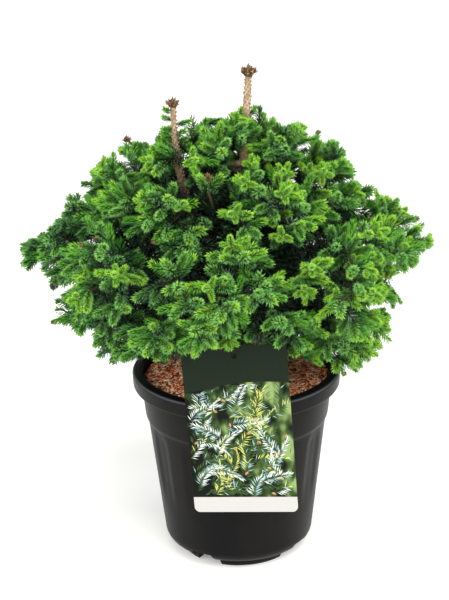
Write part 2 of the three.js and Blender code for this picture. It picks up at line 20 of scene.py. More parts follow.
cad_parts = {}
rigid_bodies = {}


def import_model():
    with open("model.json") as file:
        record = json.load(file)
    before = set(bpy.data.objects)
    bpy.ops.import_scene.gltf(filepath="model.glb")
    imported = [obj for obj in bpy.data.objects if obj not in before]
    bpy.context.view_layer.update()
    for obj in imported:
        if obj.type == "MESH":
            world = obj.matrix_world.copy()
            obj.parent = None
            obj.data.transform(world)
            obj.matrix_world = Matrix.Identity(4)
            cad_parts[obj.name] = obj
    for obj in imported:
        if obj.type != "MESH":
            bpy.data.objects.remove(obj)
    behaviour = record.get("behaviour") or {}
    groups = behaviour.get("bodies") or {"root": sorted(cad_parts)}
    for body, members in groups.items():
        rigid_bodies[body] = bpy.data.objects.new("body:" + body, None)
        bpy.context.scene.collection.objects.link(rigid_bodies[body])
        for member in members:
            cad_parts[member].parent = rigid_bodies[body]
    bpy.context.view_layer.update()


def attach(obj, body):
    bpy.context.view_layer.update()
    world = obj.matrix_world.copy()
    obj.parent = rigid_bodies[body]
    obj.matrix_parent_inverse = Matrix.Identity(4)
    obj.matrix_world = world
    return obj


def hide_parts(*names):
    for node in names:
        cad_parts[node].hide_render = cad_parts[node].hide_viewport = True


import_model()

LOG = logging.getLogger("spruce")
MM = 0.001
DEGREE = pi / 180
GOLDEN_TURN = 137.508 * DEGREE
UP = np.array([0.0, 0.0, 1.0])
FORWARD = np.array([0.0, 1.0, 0.0])
ASIDE = np.array([1.0, 0.0, 0.0])
BODY = "root"

Array = np.ndarray
Piece = bpy.types.Object
Socket = bpy.types.NodeSocket
Material = bpy.types.Material
Inputs = dict[str | int, object]
Pair = tuple[float, float]
Colour = Place = tuple[float, float, float]
Places = tuple[Place, ...]


# Small helpers for vectors


def unit(vector: Array) -> Array:
    """Returns the vector, or each row of an array of vectors, at length one."""
    return vector / np.maximum(norm(vector, axis=-1, keepdims=True), 1e-12)


def lerp(start: float, end: float, share: float) -> float:
    """Returns the value at a share of the way from start to end."""
    return start + (end - start) * share


def direction_of(turn: float, elevation: float) -> Array:
    """Returns the unit direction at a turn about +Z and an elevation, in radians."""
    flat = cos(elevation)
    return np.array([flat * cos(turn), flat * sin(turn), sin(elevation)])


def turned(vector: Array, axis: Array, angle: float) -> Array:
    """Returns the vector turned about a unit axis by the right-hand rule."""
    across = np.cross(axis, vector)
    along = axis * float(np.dot(axis, vector)) * (1 - cos(angle))
    return vector * cos(angle) + across * sin(angle) + along


def sides_of(axis: Array) -> tuple[Array, Array]:
    """Returns two unit directions square to an axis, the first one level."""
    across = np.cross(axis, UP)
    if norm(across) < 1e-6:
        across = ASIDE
    across = unit(across)
    return across, unit(np.cross(across, axis))


def around(sides: tuple[Array, Array], turn: float) -> Array:
    """Returns the direction at a turn about an axis, from the two sides of that axis."""
    return sides[0] * cos(turn) + sides[1] * sin(turn)


class SeededNumbers:
    """Numbers between 0 and 1 that are the same on every run."""

    def __init__(self, seed: int) -> None:
        """Starts the row of numbers at a seed."""
        self.state = seed % 2**32

    def __call__(self) -> float:
        """Returns the next number."""
        self.state = (self.state * 1664525 + 1013904223) % 2**32
        return self.state / 2**32


# Small helpers for meshes


def deselect_all() -> None:
    """Leaves nothing selected and nothing active."""
    for obj in bpy.context.view_layer.objects:
        obj.select_set(False)
    bpy.context.view_layer.objects.active = None


def make_active(obj: Piece) -> None:
    """Selects one object alone and makes it active."""
    deselect_all()
    obj.select_set(True)
    bpy.context.view_layer.objects.active = obj


def apply_place(obj: Piece) -> None:
    """Moves an object's place, turn and scale into its mesh."""
    make_active(obj)
    bpy.ops.object.transform_apply(location=True, rotation=True, scale=True)


def apply_modifiers(obj: Piece) -> None:
    """Applies every modifier of an object, in order."""
    make_active(obj)
    for name in [modifier.name for modifier in obj.modifiers]:
        bpy.ops.object.modifier_apply(modifier=name)


@contextmanager
def editing(obj: Piece, kind: str = "", chosen: Callable[..., bool] | None = None) -> Iterator[None]:
    """Opens an object for editing, with all of it or only what is chosen selected, and closes it again.

    Args:
        obj: The object.
        kind: VERT, EDGE or FACE to select by, or nothing to leave that as it is.
        chosen: Says of each vertex or face whether it is selected, or None for all.

    Yields:
        Nothing, while the object is open.
    """
    make_active(obj)
    bpy.ops.object.mode_set(mode="EDIT")
    if kind:
        bpy.ops.mesh.select_mode(type=kind)
    bpy.ops.mesh.select_all(action="DESELECT" if chosen else "SELECT")
    if chosen:
        bpy.ops.object.mode_set(mode="OBJECT")
        for part in obj.data.polygons if kind == "FACE" else obj.data.vertices:
            part.select = chosen(part)
        bpy.ops.object.mode_set(mode="EDIT")
    yield
    bpy.ops.object.mode_set(mode="OBJECT")


def recalculate_normals(obj: Piece) -> None:
    """Merges doubles and turns all faces outwards."""
    with editing(obj):
        bpy.ops.mesh.remove_doubles(threshold=1e-6)
        bpy.ops.mesh.normals_make_consistent(inside=False)


def started(add: Callable[..., object], scale: Place = (1, 1, 1), **place: object) -> Piece:
    """Adds a primitive alone, scales it and keeps its place in its mesh."""
    deselect_all()
    add(**place)
    obj = bpy.context.view_layer.objects.active
    obj.scale = scale
    apply_place(obj)
    return obj


def raised_rings(segments: int, rows: Sequence[Pair]) -> Piece:
    """Extrudes a filled circle from ring to ring and closes the last one.

    Args:
        segments: The number of the circle's sides.
        rows: Each ring's radius and height in millimetres.

    Returns:
        The object.
    """
    radius, height = rows[0]
    add = bpy.ops.mesh.primitive_circle_add
    obj = started(add, vertices=segments, radius=radius * MM, fill_type="NGON", location=(0, 0, height * MM))
    with editing(obj, "EDGE"):
        for next_radius, next_height in rows[1:]:
            bpy.ops.mesh.extrude_edges_move(TRANSFORM_OT_translate={"value": (0, 0, (next_height - height) * MM)})
            scale = next_radius / radius
            bpy.ops.transform.resize(value=(scale, scale, 1), center_override=(0, 0, 0))
            radius, height = next_radius, next_height
        bpy.ops.mesh.edge_face_add()
    return obj


def cut_out(obj: Piece, cutter: Piece) -> None:
    """Cuts one object's shape out of another and removes the cutter."""
    modifier = obj.modifiers.new("cut", "BOOLEAN")
    modifier.object, modifier.solver = cutter, "EXACT"
    apply_modifiers(obj)
    bpy.data.objects.remove(cutter)


def roughen(obj: Piece, size: float, strength: float, middle: float, direction: str = "NORMAL") -> None:
    """Adds relief of clouds of one size and strength, in millimetres."""
    texture = bpy.data.textures.new(f"{obj.name}_{size}", "CLOUDS")
    texture.noise_scale = size * MM
    modifier = obj.modifiers.new("relief", "DISPLACE")
    modifier.texture, modifier.texture_coords = texture, "LOCAL"
    modifier.direction, modifier.mid_level, modifier.strength = direction, middle, strength * MM


def dress(obj: Piece, material: Material) -> None:
    """Gives an object one finish and no other."""
    obj.data.materials.clear()
    obj.data.materials.append(material)


def smooth_under(obj: Piece, angle: float) -> None:
    """Shades smooth across edges that bend by less than an angle in radians."""
    make_active(obj)
    bpy.ops.object.shade_smooth_by_angle(angle=angle)


def vertices_of(obj: Piece) -> Array:
    """Returns the object's vertices as rows of x, y and z."""
    places = np.empty(len(obj.data.vertices) * 3)
    obj.data.vertices.foreach_get("co", places)
    return places.reshape(-1, 3)


def set_vertices(obj: Piece, places: Array) -> None:
    """Moves the object's vertices to new places."""
    obj.data.vertices.foreach_set("co", places.astype(np.float32).ravel())
    obj.data.update()


def joined_mesh(name: str, vertices: Array, triangles: Array, materials: Sequence[Material], dealt: Array) -> Piece:
    """Makes one object of many small shapes.

    Args:
        name: The piece's name.
        vertices: Rows of x, y and z in metres.
        triangles: Rows of three vertex numbers.
        materials: The piece's finishes.
        dealt: The number of each triangle's finish.

    Returns:
        The new object.
    """
    mesh = bpy.data.meshes.new(name)
    mesh.vertices.add(len(vertices))
    mesh.vertices.foreach_set("co", vertices.astype(np.float32).ravel())
    mesh.loops.add(3 * len(triangles))
    mesh.loops.foreach_set("vertex_index", triangles.astype(np.int32).ravel())
    mesh.polygons.add(len(triangles))
    mesh.polygons.foreach_set("loop_start", np.arange(0, 3 * len(triangles), 3, dtype=np.int32))
    for material in materials:
        mesh.materials.append(material)
    mesh.polygons.foreach_set("material_index", dealt.astype(np.int32))
    mesh.update(calc_edges=True)
    obj = bpy.data.objects.new(name, mesh)
    bpy.context.scene.collection.objects.link(obj)
    return obj


def keep_piece(obj: Piece, name: str, nodes: Iterable[str] = ()) -> None:
    """Names a finished piece, lets it ride on the plant and hides the model's nodes that it replaces.

    Args:
        obj: The finished object, with its place in its mesh.
        name: The piece's name.
        nodes: The nodes of the model that the piece replaces.
    """
    obj.name = obj.data.name = name
    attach(obj, BODY)
    if nodes:
        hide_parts(*nodes)
    LOG.info("%s: %d faces", name, len(obj.data.polygons))


# Finishes


class NodeSheet:
    """A material's node tree, with short ways to add and join nodes."""

    def __init__(self, name: str) -> None:
        """Makes a material with its shader."""
        self.material = bpy.data.materials.new(name)
        self.material.use_nodes = True
        self.tree = self.material.node_tree
        self.shader = self.tree.nodes["Principled BSDF"]

    def feed(self, node: bpy.types.Node, inputs: Inputs) -> None:
        """Links a node's sockets to outputs, or sets them to numbers and colours."""
        for key, value in inputs.items():
            socket = node.inputs[key]
            if isinstance(value, Socket):
                self.tree.links.new(value, socket)
            else:
                socket.default_value = (*value, 1) if socket.type == "RGBA" else value

    def add(self, kind: str, inputs: Inputs, **settings: object) -> bpy.types.Node:
        """Adds a node, sets its properties by name and feeds its sockets."""
        node = self.tree.nodes.new("ShaderNode" + kind)
        for key, value in settings.items():
            setattr(node, key, value)
        self.feed(node, inputs)
        return node

    def shade(self, **inputs: object) -> None:
        """Feeds the shader's own sockets, with spaces written as underscores."""
        self.feed(self.shader, {key.replace("_", " "): value for key, value in inputs.items()})

    def math(self, operation: str, *values: Socket | float) -> Socket:
        """Returns the result of an operation on outputs and numbers."""
        return self.add("Math", dict(enumerate(values)), operation=operation).outputs[0]

    def place(self) -> Socket:
        """Returns the object's coordinates."""
        return self.add("TexCoord", {}).outputs["Object"]

    def noise(self, scale: float, detail: float, stretch: Place = (1, 1, 1)) -> Socket:
        """Returns a noise pattern on the object's coordinates, stretched along its axes."""
        place = self.add("Mapping", {"Vector": self.place(), "Scale": stretch}).outputs["Vector"]
        return self.add("TexNoise", {"Vector": place, "Scale": scale, "Detail": detail}).outputs["Fac"]

    def ramp(self, value: Socket, stops: Sequence[tuple[float, Colour]]) -> Socket:
        """Returns colours picked along a ramp by a value."""
        node = self.add("ValToRGB", {"Fac": value})
        elements = node.color_ramp.elements
        while len(elements) < len(stops):
            elements.new(0.5)
        for element, (place, colour) in zip(elements, stops):
            element.position, element.color = place, (*colour, 1)
        return node.outputs["Color"]

    def blend(self, share: Socket, first: Socket, second: Socket | Colour) -> Socket:
        """Returns two colours blended by a share."""
        return self.add("Mix", {"Factor": share, "A": first, "B": second}, data_type="RGBA").outputs["Result"]

    def height(self, low: float, high: float) -> Socket:
        """Returns the height on the object, as a share of the way from low to high in metres."""
        height = self.add("SeparateXYZ", {"Vector": self.place()}).outputs["Z"]
        return self.add("MapRange", {"Value": height, "From Min": low, "From Max": high}).outputs["Result"]

    def bump(self, height: Socket, depth: float, strength: float = 1.0) -> None:
        """Drives the shader's normal from a height pattern."""
        node = self.add("Bump", {"Strength": strength, "Distance": depth, "Height": height})
        self.shade(Normal=node.outputs["Normal"])


@dataclass(frozen=True)
class PlainFinish:
    """One colour with its gloss, for small things whose colours are dealt out piece by piece."""

    name: str
    colour: Colour
    roughness: float = 0.5
    gloss: float = 0.5
    glow: float = 0.0

    def material(self) -> Material:
        """Returns the material."""
        sheet = NodeSheet(self.name)
        sheet.shade(Base_Color=self.colour, Roughness=self.roughness, Specular_IOR_Level=self.gloss)
        sheet.shade(Emission_Color=self.colour, Emission_Strength=self.glow)
        return sheet.material


@dataclass(frozen=True)
class BarkFinish:
    """Flaky bark that turns from brown at the foot to tan on the bare leader."""

    dark: Colour = (0.045, 0.027, 0.017)
    light: Colour = (0.17, 0.10, 0.06)
    tip_dark: Colour = (0.23, 0.15, 0.085)
    tip_light: Colour = (0.56, 0.44, 0.29)
    fade_heights: Pair = (0.40, 0.47)
    grain: float = 320.0

    def material(self) -> Material:
        """Returns the material."""
        sheet = NodeSheet("trunk_bark")
        flakes = sheet.noise(self.grain, 5.0, (1, 1, 0.35))
        foot = sheet.ramp(flakes, [(0.35, self.dark), (0.65, self.light)])
        tip = sheet.ramp(flakes, [(0.35, self.tip_dark), (0.65, self.tip_light)])
        fade = sheet.height(*self.fade_heights)
        sheet.shade(Base_Color=sheet.blend(fade, foot, tip), Roughness=0.85, Specular_IOR_Level=0.25)
        sheet.bump(flakes, 0.0012)
        return sheet.material


@dataclass(frozen=True)
class PotPlastic:
    """Moulded black plastic with a satin skin, faint streaks, dusty patches and a painted highlight along the rim's
    outer edge.
    """

    dark: Colour = (0.003, 0.003, 0.0034)
    worn: Colour = (0.007, 0.0066, 0.006)
    # The edge colour is a painted highlight on the rim's rounded outer corner.
    edge: Colour = (0.07, 0.077, 0.09)
    highlight_heights: Pair = (0.200, 0.206)

    def material(self) -> Material:
        """Returns the material, with a painted highlight line on the rim's outer edge."""
        sheet = NodeSheet("pot_plastic")
        patches = sheet.noise(14.0, 4.0, (1, 1, 0.4))
        colour = sheet.ramp(patches, [(0.4, self.dark), (0.68, self.worn)])
        off, on = (0.0, 0.0, 0.0), (0.8, 0.8, 0.8)
        # Painted highlight: the edge colour in a band of heights on the rim's outer rounding.
        stops = [(0.45, off), (0.58, on), (0.68, on), (0.76, off)]
        painted_highlight = sheet.ramp(sheet.height(*self.highlight_heights), stops)
        satin = sheet.add("MapRange", {"Value": patches, "To Min": 0.34, "To Max": 0.46}).outputs["Result"]
        sheet.shade(Base_Color=sheet.blend(painted_highlight, colour, self.edge), Roughness=satin, Specular_IOR_Level=0.075)
        sheet.bump(sheet.noise(900.0, 2.0), 0.0001, 0.6)
        return sheet.material


@dataclass(frozen=True)
class MulchBedFinish:
    """The ground between the chips: crumbly tones, dimmer than the chips as painted shade in the gaps between them.
    """

    dark: Colour = (0.10, 0.03, 0.015)
    light: Colour = (0.80, 0.28, 0.13)

    def material(self) -> Material:
        """Returns the material."""
        sheet = NodeSheet("mulch_bed")
        crumbs = sheet.noise(420.0, 6.0)
        colour = sheet.ramp(crumbs, [(0.38, self.dark), (0.62, self.light)])
        sheet.shade(Base_Color=colour, Roughness=0.95, Specular_IOR_Level=0.15)
        sheet.bump(crumbs, 0.002)
        return sheet.material


@dataclass(frozen=True)
class CardFinish:
    """Printed card: a dark header over a curved edge, a blurred picture ground and a pale foot band."""

    header: Colour = (0.0078, 0.0138, 0.0074)
    ground_dark: Colour = (0.0035, 0.005, 0.0035)
    ground_green: Colour = (0.03, 0.055, 0.014)
    ground_light: Colour = (0.20, 0.29, 0.10)
    band: Colour = (0.425, 0.42, 0.40)
    band_top: float = 0.0925
    header_foot: float = 0.716
    header_rise: float = 0.068
    header_bow: float = 2.1

    def material(self) -> Material:
        """Returns the material. It reads the card's own UV map, 0 to 1 across and up the face."""
        sheet = NodeSheet("card_print_ground")
        spread = sheet.add("UVMap", {}, uv_map="face").outputs["UV"]
        blur = sheet.add("TexNoise", {"Vector": spread, "Scale": 9.0, "Detail": 1.0}).outputs["Fac"]
        across, height, _ = sheet.add("SeparateXYZ", {"Vector": spread}).outputs
        lean = sheet.math("MULTIPLY_ADD", across, 0.26, blur)
        raised = sheet.math("MULTIPLY_ADD", height, 0.14, lean)
        ground = sheet.ramp(raised, [(0.64, self.ground_dark), (0.78, self.ground_green), (0.93, self.ground_light)])
        bow = sheet.math("SINE", sheet.math("MULTIPLY", across, self.header_bow))
        edge = sheet.math("MULTIPLY_ADD", bow, self.header_rise, self.header_foot)
        upper = sheet.blend(sheet.math("GREATER_THAN", height, edge), ground, self.header)
        whole = sheet.blend(sheet.math("LESS_THAN", height, self.band_top), upper, self.band)
        sheet.shade(Base_Color=whole, Roughness=0.55, Specular_IOR_Level=0.08)
        return sheet.material


class Age(Enum):
    """A needle's colour grade, dealt partly by its age and partly as painted light: outer side, then the paler inner
    side.
    """

    LIME = ("needle_lime", (0.26, 0.53, 0.022), (0.27, 0.52, 0.05))
    FRESH = ("needle_fresh", (0.112, 0.36, 0.018), (0.19, 0.44, 0.075))
    LEAF = ("needle_leaf", (0.046, 0.205, 0.014), (0.12, 0.32, 0.08))
    DEEP = ("needle_deep", (0.014, 0.078, 0.010), (0.055, 0.15, 0.05))
    # The oldest grade is dimmed beyond old needles' own colour, as painted shade for the crown's inside.
    OLD = ("needle_old", (0.0035, 0.017, 0.0045), (0.012, 0.032, 0.016))
    FROST = ("needle_frost", (0.020, 0.09, 0.020), (0.30, 0.48, 0.34))

    def rank(self) -> int:
        """Returns the age's place in the order above."""
        return list(Age).index(self)

    def finishes(self) -> list[PlainFinish]:
        """Returns the finishes of the outer and of the inner side."""
        name, outer, inner = self.value
        return [PlainFinish(name, outer, 0.45, 0.35), PlainFinish(name + "_inner", inner, 0.6, 0.25)]


Ages = tuple[Age, Age, Age]
DARK_AGES = (Age.OLD, Age.DEEP, Age.DEEP)
TWIG_FINISHES = [
    PlainFinish("twig_bark", (0.06, 0.043, 0.026), 0.8, 0.2),
    PlainFinish("shoot_skin", (0.055, 0.085, 0.02), 0.7, 0.2),
]
BUD_FINISHES = [
    PlainFinish("bud_scale", (0.14, 0.082, 0.04), 0.65, 0.3),
    PlainFinish("bud_scale_dark", (0.07, 0.035, 0.018), 0.7, 0.2),
    PlainFinish("bud_scale_pale", (0.36, 0.21, 0.09), 0.6, 0.3),
]
CHIP_FINISHES = [
    PlainFinish("chip_rust", (1.0, 0.40, 0.20), 0.9, 0.15),
    PlainFinish("chip_red", (0.80, 0.24, 0.11), 0.9, 0.15),
    PlainFinish("chip_tan", (1.0, 0.78, 0.58), 0.9, 0.15),
    PlainFinish("chip_dark", (0.12, 0.035, 0.015), 0.95, 0.1),
]
PEG_TAN = PlainFinish("peg_tan", (0.36, 0.23, 0.135), 0.8, 0.2)
PRINT_COLOURS = {
    "frost": (0.80, 0.86, 0.80),
    "ice": (0.34, 0.50, 0.50),
    "lime": (0.60, 0.64, 0.16),
    "moss": (0.045, 0.095, 0.025),
    "amber": (0.60, 0.32, 0.12),
}


# Routes


class Route:
    """A smooth curve, walked by share of its length, in millimetres."""

    def __init__(self, points: Array) -> None:
        """Keeps close points along the curve with their distance from its start."""
        self.points = points
        steps = norm(np.diff(points, axis=0), axis=1)
        self.walked = np.concatenate([[0.0], np.cumsum(steps)])

    @property
    def length(self) -> float:
        """The curve's length."""
        return float(self.walked[-1])

    def at(self, share: float) -> Array:
        """Returns the point at a share of the length."""
        target = min(max(share, 0.0), 1.0) * self.length
        return np.array([np.interp(target, self.walked, self.points[:, axis]) for axis in range(3)])

    def part(self, start: float, end: float, count: int = 60) -> "Route":
        """Returns the part of the route between two shares."""
        return Route(np.array([self.at(lerp(start, end, i / count)) for i in range(count + 1)]))


def bent_route(start: Array, bend: Array, end: Array) -> Route:
    """Returns a quadratic curve from start to end, drawn towards bend."""
    share = np.linspace(0, 1, 201)[:, None]
    return Route((1 - share) ** 2 * start + 2 * share * (1 - share) * bend + share**2 * end)


def route_through(places: Sequence[Place]) -> Route:
    """Returns a centripetal spline through the places."""
    fixed = np.array(places, float)
    padded = np.vstack([2 * fixed[0] - fixed[1], fixed, 2 * fixed[-1] - fixed[-2]])
    points = [fixed[0]]
    for i in range(len(fixed) - 1):
        before, start, end, after = padded[i : i + 4]
        steps = [norm(b - a) ** 0.5 for a, b in ((before, start), (start, end), (end, after))]
        leave = (start - before) / steps[0] - (end - before) / (steps[0] + steps[1]) + (end - start) / steps[1]
        arrive = (end - start) / steps[1] - (after - start) / (steps[1] + steps[2]) + (after - end) / steps[2]
        leave, arrive = leave * steps[1], arrive * steps[1]
        for share in np.linspace(0, 1, 41)[1:]:
            curve = -3 * start + 3 * end - 2 * leave - arrive
            twist = 2 * start - 2 * end + leave + arrive
            points.append(start + leave * share + curve * share**2 + twist * share**3)
    return Route(np.array(points))


# The plant's plan, by the same rule and sizes as the model's source


@dataclass(frozen=True)
class StemPlan:
    """The trunk, or the second leader on the left, up to its bare end."""

    foot_radius: float
    tip_radius: float
    places: Places
    taper_power: float = 1
    flare: float = 0
    flare_from: float = 0.04
    flare_share: float = 0.05

    def radius(self, share: float) -> float:
        """Returns the radius at a share of the length, with the root flare."""
        flare = self.flare * exp(-max(0.0, share - self.flare_from) / self.flare_share)
        return lerp(self.foot_radius, self.tip_radius, share**self.taper_power) + flare


TRUNK_PLACES = ((0, 0, 176), (0, 0, 210), (-3, 1, 262), (2, 3, 335), (10, 4, 415), (15, 5, 485), (17, 5, 521))
LEADER_PLACES = ((1, 3, 318), (-24, -10, 352), (-47, -18, 398), (-56, -20, 443), (-59, -20, 496))


@dataclass(frozen=True)
class RingPlan:
    """One ring of boughs round the trunk."""

    name: str
    count: int
    turn: float
    elevation: float
    reach: float
    spread: float
    lean: float
    bough: float
    rise: float


RINGS = (
    RingPlan("lower", 7, -64, -19, 181, 0.04, 0.055, 244, 12),
    RingPlan("middle", 8, -90, 5, 206, 0.08, 0, 290, 14),
    RingPlan("upper", 6, -60, 41, 178, 0, 0.02, 340, 8),
    RingPlan("top", 3, -6, 62, 180, 0, 0, 400, 0),
)


@dataclass(frozen=True)
class CrownPlan:
    """The sizes that the growth rule works from, in millimetres and radians."""

    centre: Place = (-13, 0, 320)
    unevenness: float = 0.05
    middle_distance: float = 125
    stem_share: float = 0.78
    dome: float = 0.12
    dome_angle: float = 29 * DEGREE
    margin: float = 0.8
    droop_below: float = 20
    gap: float = 0.3
    lift_width: float = 45 * DEGREE
    lift_elevation: float = 7 * DEGREE
    lift_rise: float = 18
    hollows: tuple[tuple[float, float, float], ...] = ((-62, 21, 12), (-84, -9, 10))
    bough_foot: float = 4.2
    bough_tip: float = 2.6
    bough_stagger: float = 13
    bough_least: float = 0.3
    stem_foot: float = 2.3
    stem_tip: float = 1.3
    stem_steps: int = 2
    twig_first: float = 7
    twig_last: float = 0.94
    twig_radius: float = 1.5
    twig_leans: tuple[float, ...] = (0.8, 0.3, 0)
    spray_length: float = 48
    spray_radius: float = 14.5
    spray_sink: float = 7
    spray_droop: float = 0.12
    spray_spacing: float = 23
    side_behind: tuple[float, ...] = (15, 25)
    side_last: float = 0.8
    side_scale: float = 0.9
    side_splay: float = 60 * DEGREE
    side_twist: float = 70 * DEGREE
    tip_count: int = 150
    tip_lowest: float = -40 * DEGREE
    tip_leans: tuple[float, ...] = (0, 0.16, 0.32)
    tip_uneven: float = 0.08
    limb_room: float = 1
    rigid_room: float = 2
    slim_ends: float = 0.3

    def bough_radius(self, share: float) -> float:
        """Returns a bough's radius at a share of its length."""
        return lerp(self.bough_foot, self.bough_tip, share)


@dataclass(frozen=True)
class PotPlan:
    """The pot's sizes, in millimetres."""

    height: float = 206
    rim_radius: float = 110
    rim_width: float = 10.5
    rim_fall: float = 1.6
    rim_band: float = 16.5
    lip: float = 2.5
    wall: float = 2.4
    floor: float = 22
    collar_top: Pair = (100.4, 186)
    collar_foot: Pair = (97, 156)
    body_top: Pair = (94.5, 150)
    body_foot: Pair = (82, 45)
    corner_top: Pair = (79.6, 25)
    corner_foot: Pair = (64, 9)
    foot_radius: float = 61.5
    disc_radius: float = 24
    groove_outer: float = 45
    groove_depth: float = 6
    mulch_edge: float = 194
    mulch_middle: float = 196

    @property
    def mouth_radius(self) -> float:
        """The radius inside the flanged rim."""
        return self.rim_radius - self.rim_width


@dataclass(frozen=True)
class CardPlan:
    """The card's sizes and place, in millimetres and radians."""

    width: float = 107
    height: float = 184
    thickness: float = 0.8
    corner: float = 6
    middle: Pair = (2.8, 182)
    yaw: float = 8.7 * DEGREE
    roll: float = 3.5 * DEGREE
    hole_radius: float = 2.8
    hole_below_top: float = 12
    tongue_width: float = 14
    tongue_thickness: float = 1
    tongue_drop: float = 8
    tongue_inset: float = 2
    gap: float = 0.3

    def frame(self, pot: PotPlan) -> tuple[Array, Array, float]:
        """Returns the card's turn as a 3 by 3 matrix, its place, and its slide along the rim."""
        stand_off = pot.rim_radius + self.gap
        slide = self.middle[0] + stand_off * sin(self.yaw)
        touch = np.array([-sin(self.yaw), -cos(self.yaw), 0])
        along = np.array([cos(self.yaw), -sin(self.yaw), 0])
        place = touch * stand_off + along * slide
        place[2] = self.middle[1]
        return np.array(Matrix.Rotation(-self.yaw, 3, "Z")), place, slide


@dataclass
class Mass:
    """One mass of foliage: its direction from the crown's centre and its own routes."""

    ring: RingPlan
    number: int
    seed: int
    lifted: bool
    direction: Array
    reach: float
    bough_height: float
    middle: Array
    bough: Route | None = None
    stem: Route | None = None
    directions: list[Array] = field(default_factory=list)
    spray_middles: list[Array] = field(default_factory=list)

    @property
    def name(self) -> str:
        """The mass's name, as in its nodes."""
        return f"{self.ring.name}_{self.number}"


@dataclass
class GrowthRule:
    """The rule of the model's source: masses, their routes, twigs and sprays."""

    plan: CrownPlan
    trunk: StemPlan
    leader: StemPlan
    pot: PotPlan
    card: CardPlan

    def __post_init__(self) -> None:
        """Lays out all limbs and masses, and grows the twigs and sprays."""
        self.centre = np.array(self.plan.centre, float)
        self.trunk_route = route_through(self.trunk.places)
        self.leader_route = route_through(self.leader.places)
        self.card_turn, self.card_place, _ = self.card.frame(self.pot)
        self.masses = self._list_masses()
        self._lay_routes()
        self.limb_points, self.limb_radii = self._sample_limbs()
        for direction in self.spread_directions(self.plan.tip_count, self.plan.tip_lowest):
            self.owner_of(direction).directions.append(direction)
        self.sprays: list[tuple[Array, Array]] = []
        self.twigs: list[tuple[Array, Array]] = []
        for mass in self.masses:
            self._grow(mass)

    def _list_masses(self) -> list[Mass]:
        """Returns the masses of all rings."""
        plan = self.plan
        masses: list[Mass] = []
        for ring in RINGS:
            for i in range(ring.count):
                seed = len(masses) + 1
                draw = SeededNumbers(seed * 7919)
                turn = ring.turn * DEGREE + i * 2 * pi / ring.count
                from_front = abs(asin(sin((turn + pi / 2) / 2))) * 2
                lifted = ring.name == "lower" and from_front < plan.lift_width
                elevation = ring.elevation * DEGREE + (plan.lift_elevation if lifted else 0)
                spread = 1 + ring.spread * cos(turn) ** 2 + ring.lean * cos(turn)
                reach = ring.reach * spread * (1 + plan.unevenness * (draw() - 0.5))
                direction = direction_of(turn, elevation)
                last_of_odd = i == ring.count - 1 and ring.count % 2 == 1
                foot = ring.bough + (2 if last_of_odd else i % 2) * plan.bough_stagger
                middle = self.centre + direction * plan.middle_distance
                masses.append(Mass(ring, i + 1, seed, lifted, direction, reach, foot, middle))
        return masses

    def in_own_space(self, mass: Mass, points: Array, margin: float) -> bool:
        """Returns True if all points lie nearer to the mass's middle than to any other's."""
        points = np.atleast_2d(points) - mass.middle
        for other in self.masses:
            across = other.middle - mass.middle
            if other is not mass and np.any(points @ unit(across) >= norm(across) / 2 - margin):
                return False
        return True

    def _trunk_point(self, height: float) -> Array:
        """Returns the point of the trunk's route at a height."""
        low, high = 0.0, 1.0
        for _ in range(24):
            middle = (low + high) / 2
            low, high = (middle, high) if self.trunk_route.at(middle)[2] < height else (low, middle)
        return self.trunk_route.at(low)

    def _lay_routes(self) -> None:
        """Gives each mass its bough and its stem, parted where the route enters its own space."""
        plan = self.plan
        for mass in self.masses:
            foot = self._trunk_point(mass.bough_height)
            end = self.centre + mass.direction * mass.reach * plan.stem_share
            bend = (foot + end) / 2
            bend[2] += mass.ring.rise + (plan.lift_rise if mass.lifted else 0)
            route = bent_route(foot, bend, end)
            margin = plan.margin + plan.bough_tip
            outside = [i for i in range(201) if not self.in_own_space(mass, route.at(i / 200), margin)]
            entry = max([plan.bough_least] + [(i + 1) / 200 for i in outside])
            mass.bough = route.part(0, entry - plan.gap / route.length)
            mass.stem = route.part(entry, 1)

    def _sample_limbs(self) -> tuple[Array, Array]:
        """Returns places along all limbs with the radius at each."""
        limbs = [(self.trunk_route, self.trunk.radius, 60), (self.leader_route, self.leader.radius, 40)]
        limbs += [(mass.bough, self.plan.bough_radius, 24) for mass in self.masses]
        samples = [(route.at(i / n), radius(i / n)) for route, radius, n in limbs for i in range(n + 1)]
        return np.array([point for point, _ in samples]), np.array([radius for _, radius in samples])

    def spread_directions(self, count: int, lowest: float) -> list[Array]:
        """Returns directions spread over the crown in a sunflower spiral, from the top down."""
        depth = 1 - sin(lowest)
        heights = [1 - depth * (i + 0.5) / count for i in range(count)]
        return [direction_of(i * GOLDEN_TURN, asin(height)) for i, height in enumerate(heights)]

    def owner_of(self, direction: Array) -> Mass:
        """Returns the mass that a direction from the crown's centre runs through."""
        return max(self.masses, key=lambda mass: float(mass.direction @ direction))

    def clear_of_limbs(self, point: Array, radius: float) -> bool:
        """Returns True if growth of that radius is clear of every limb there."""
        away = norm(self.limb_points - point, axis=1)
        return bool(np.all(away > self.limb_radii + radius + self.plan.limb_room))

    def clear_of_pot(self, point: Array, radius: float) -> bool:
        """Returns True if growth of that radius is clear of the pot, the mulch and the card there."""
        room = radius + self.plan.rigid_room
        pot, card = self.pot, self.card
        outward = hypot(point[0], point[1])
        over_mulch = point[2] > pot.mulch_middle + room
        in_mouth = over_mulch and outward < pot.mouth_radius - card.tongue_inset - room
        pot_clear = point[2] > pot.height + room or outward > pot.rim_radius + room or in_mouth
        x, y, z = turned((point - self.card_place) @ self.card_turn, FORWARD, card.roll)
        card_clear = abs(x) > card.width / 2 + room or z > card.height / 2 + room or abs(y) > room
        return pot_clear and card_clear

    def in_hollow(self, point: Array) -> bool:
        """Returns True in the dark hollows of the crown."""
        offset = point - self.centre
        for turn, elevation, radius in self.plan.hollows:
            if norm(offset - direction_of(turn * DEGREE, elevation * DEGREE) * norm(offset)) < radius:
                return True
        return False

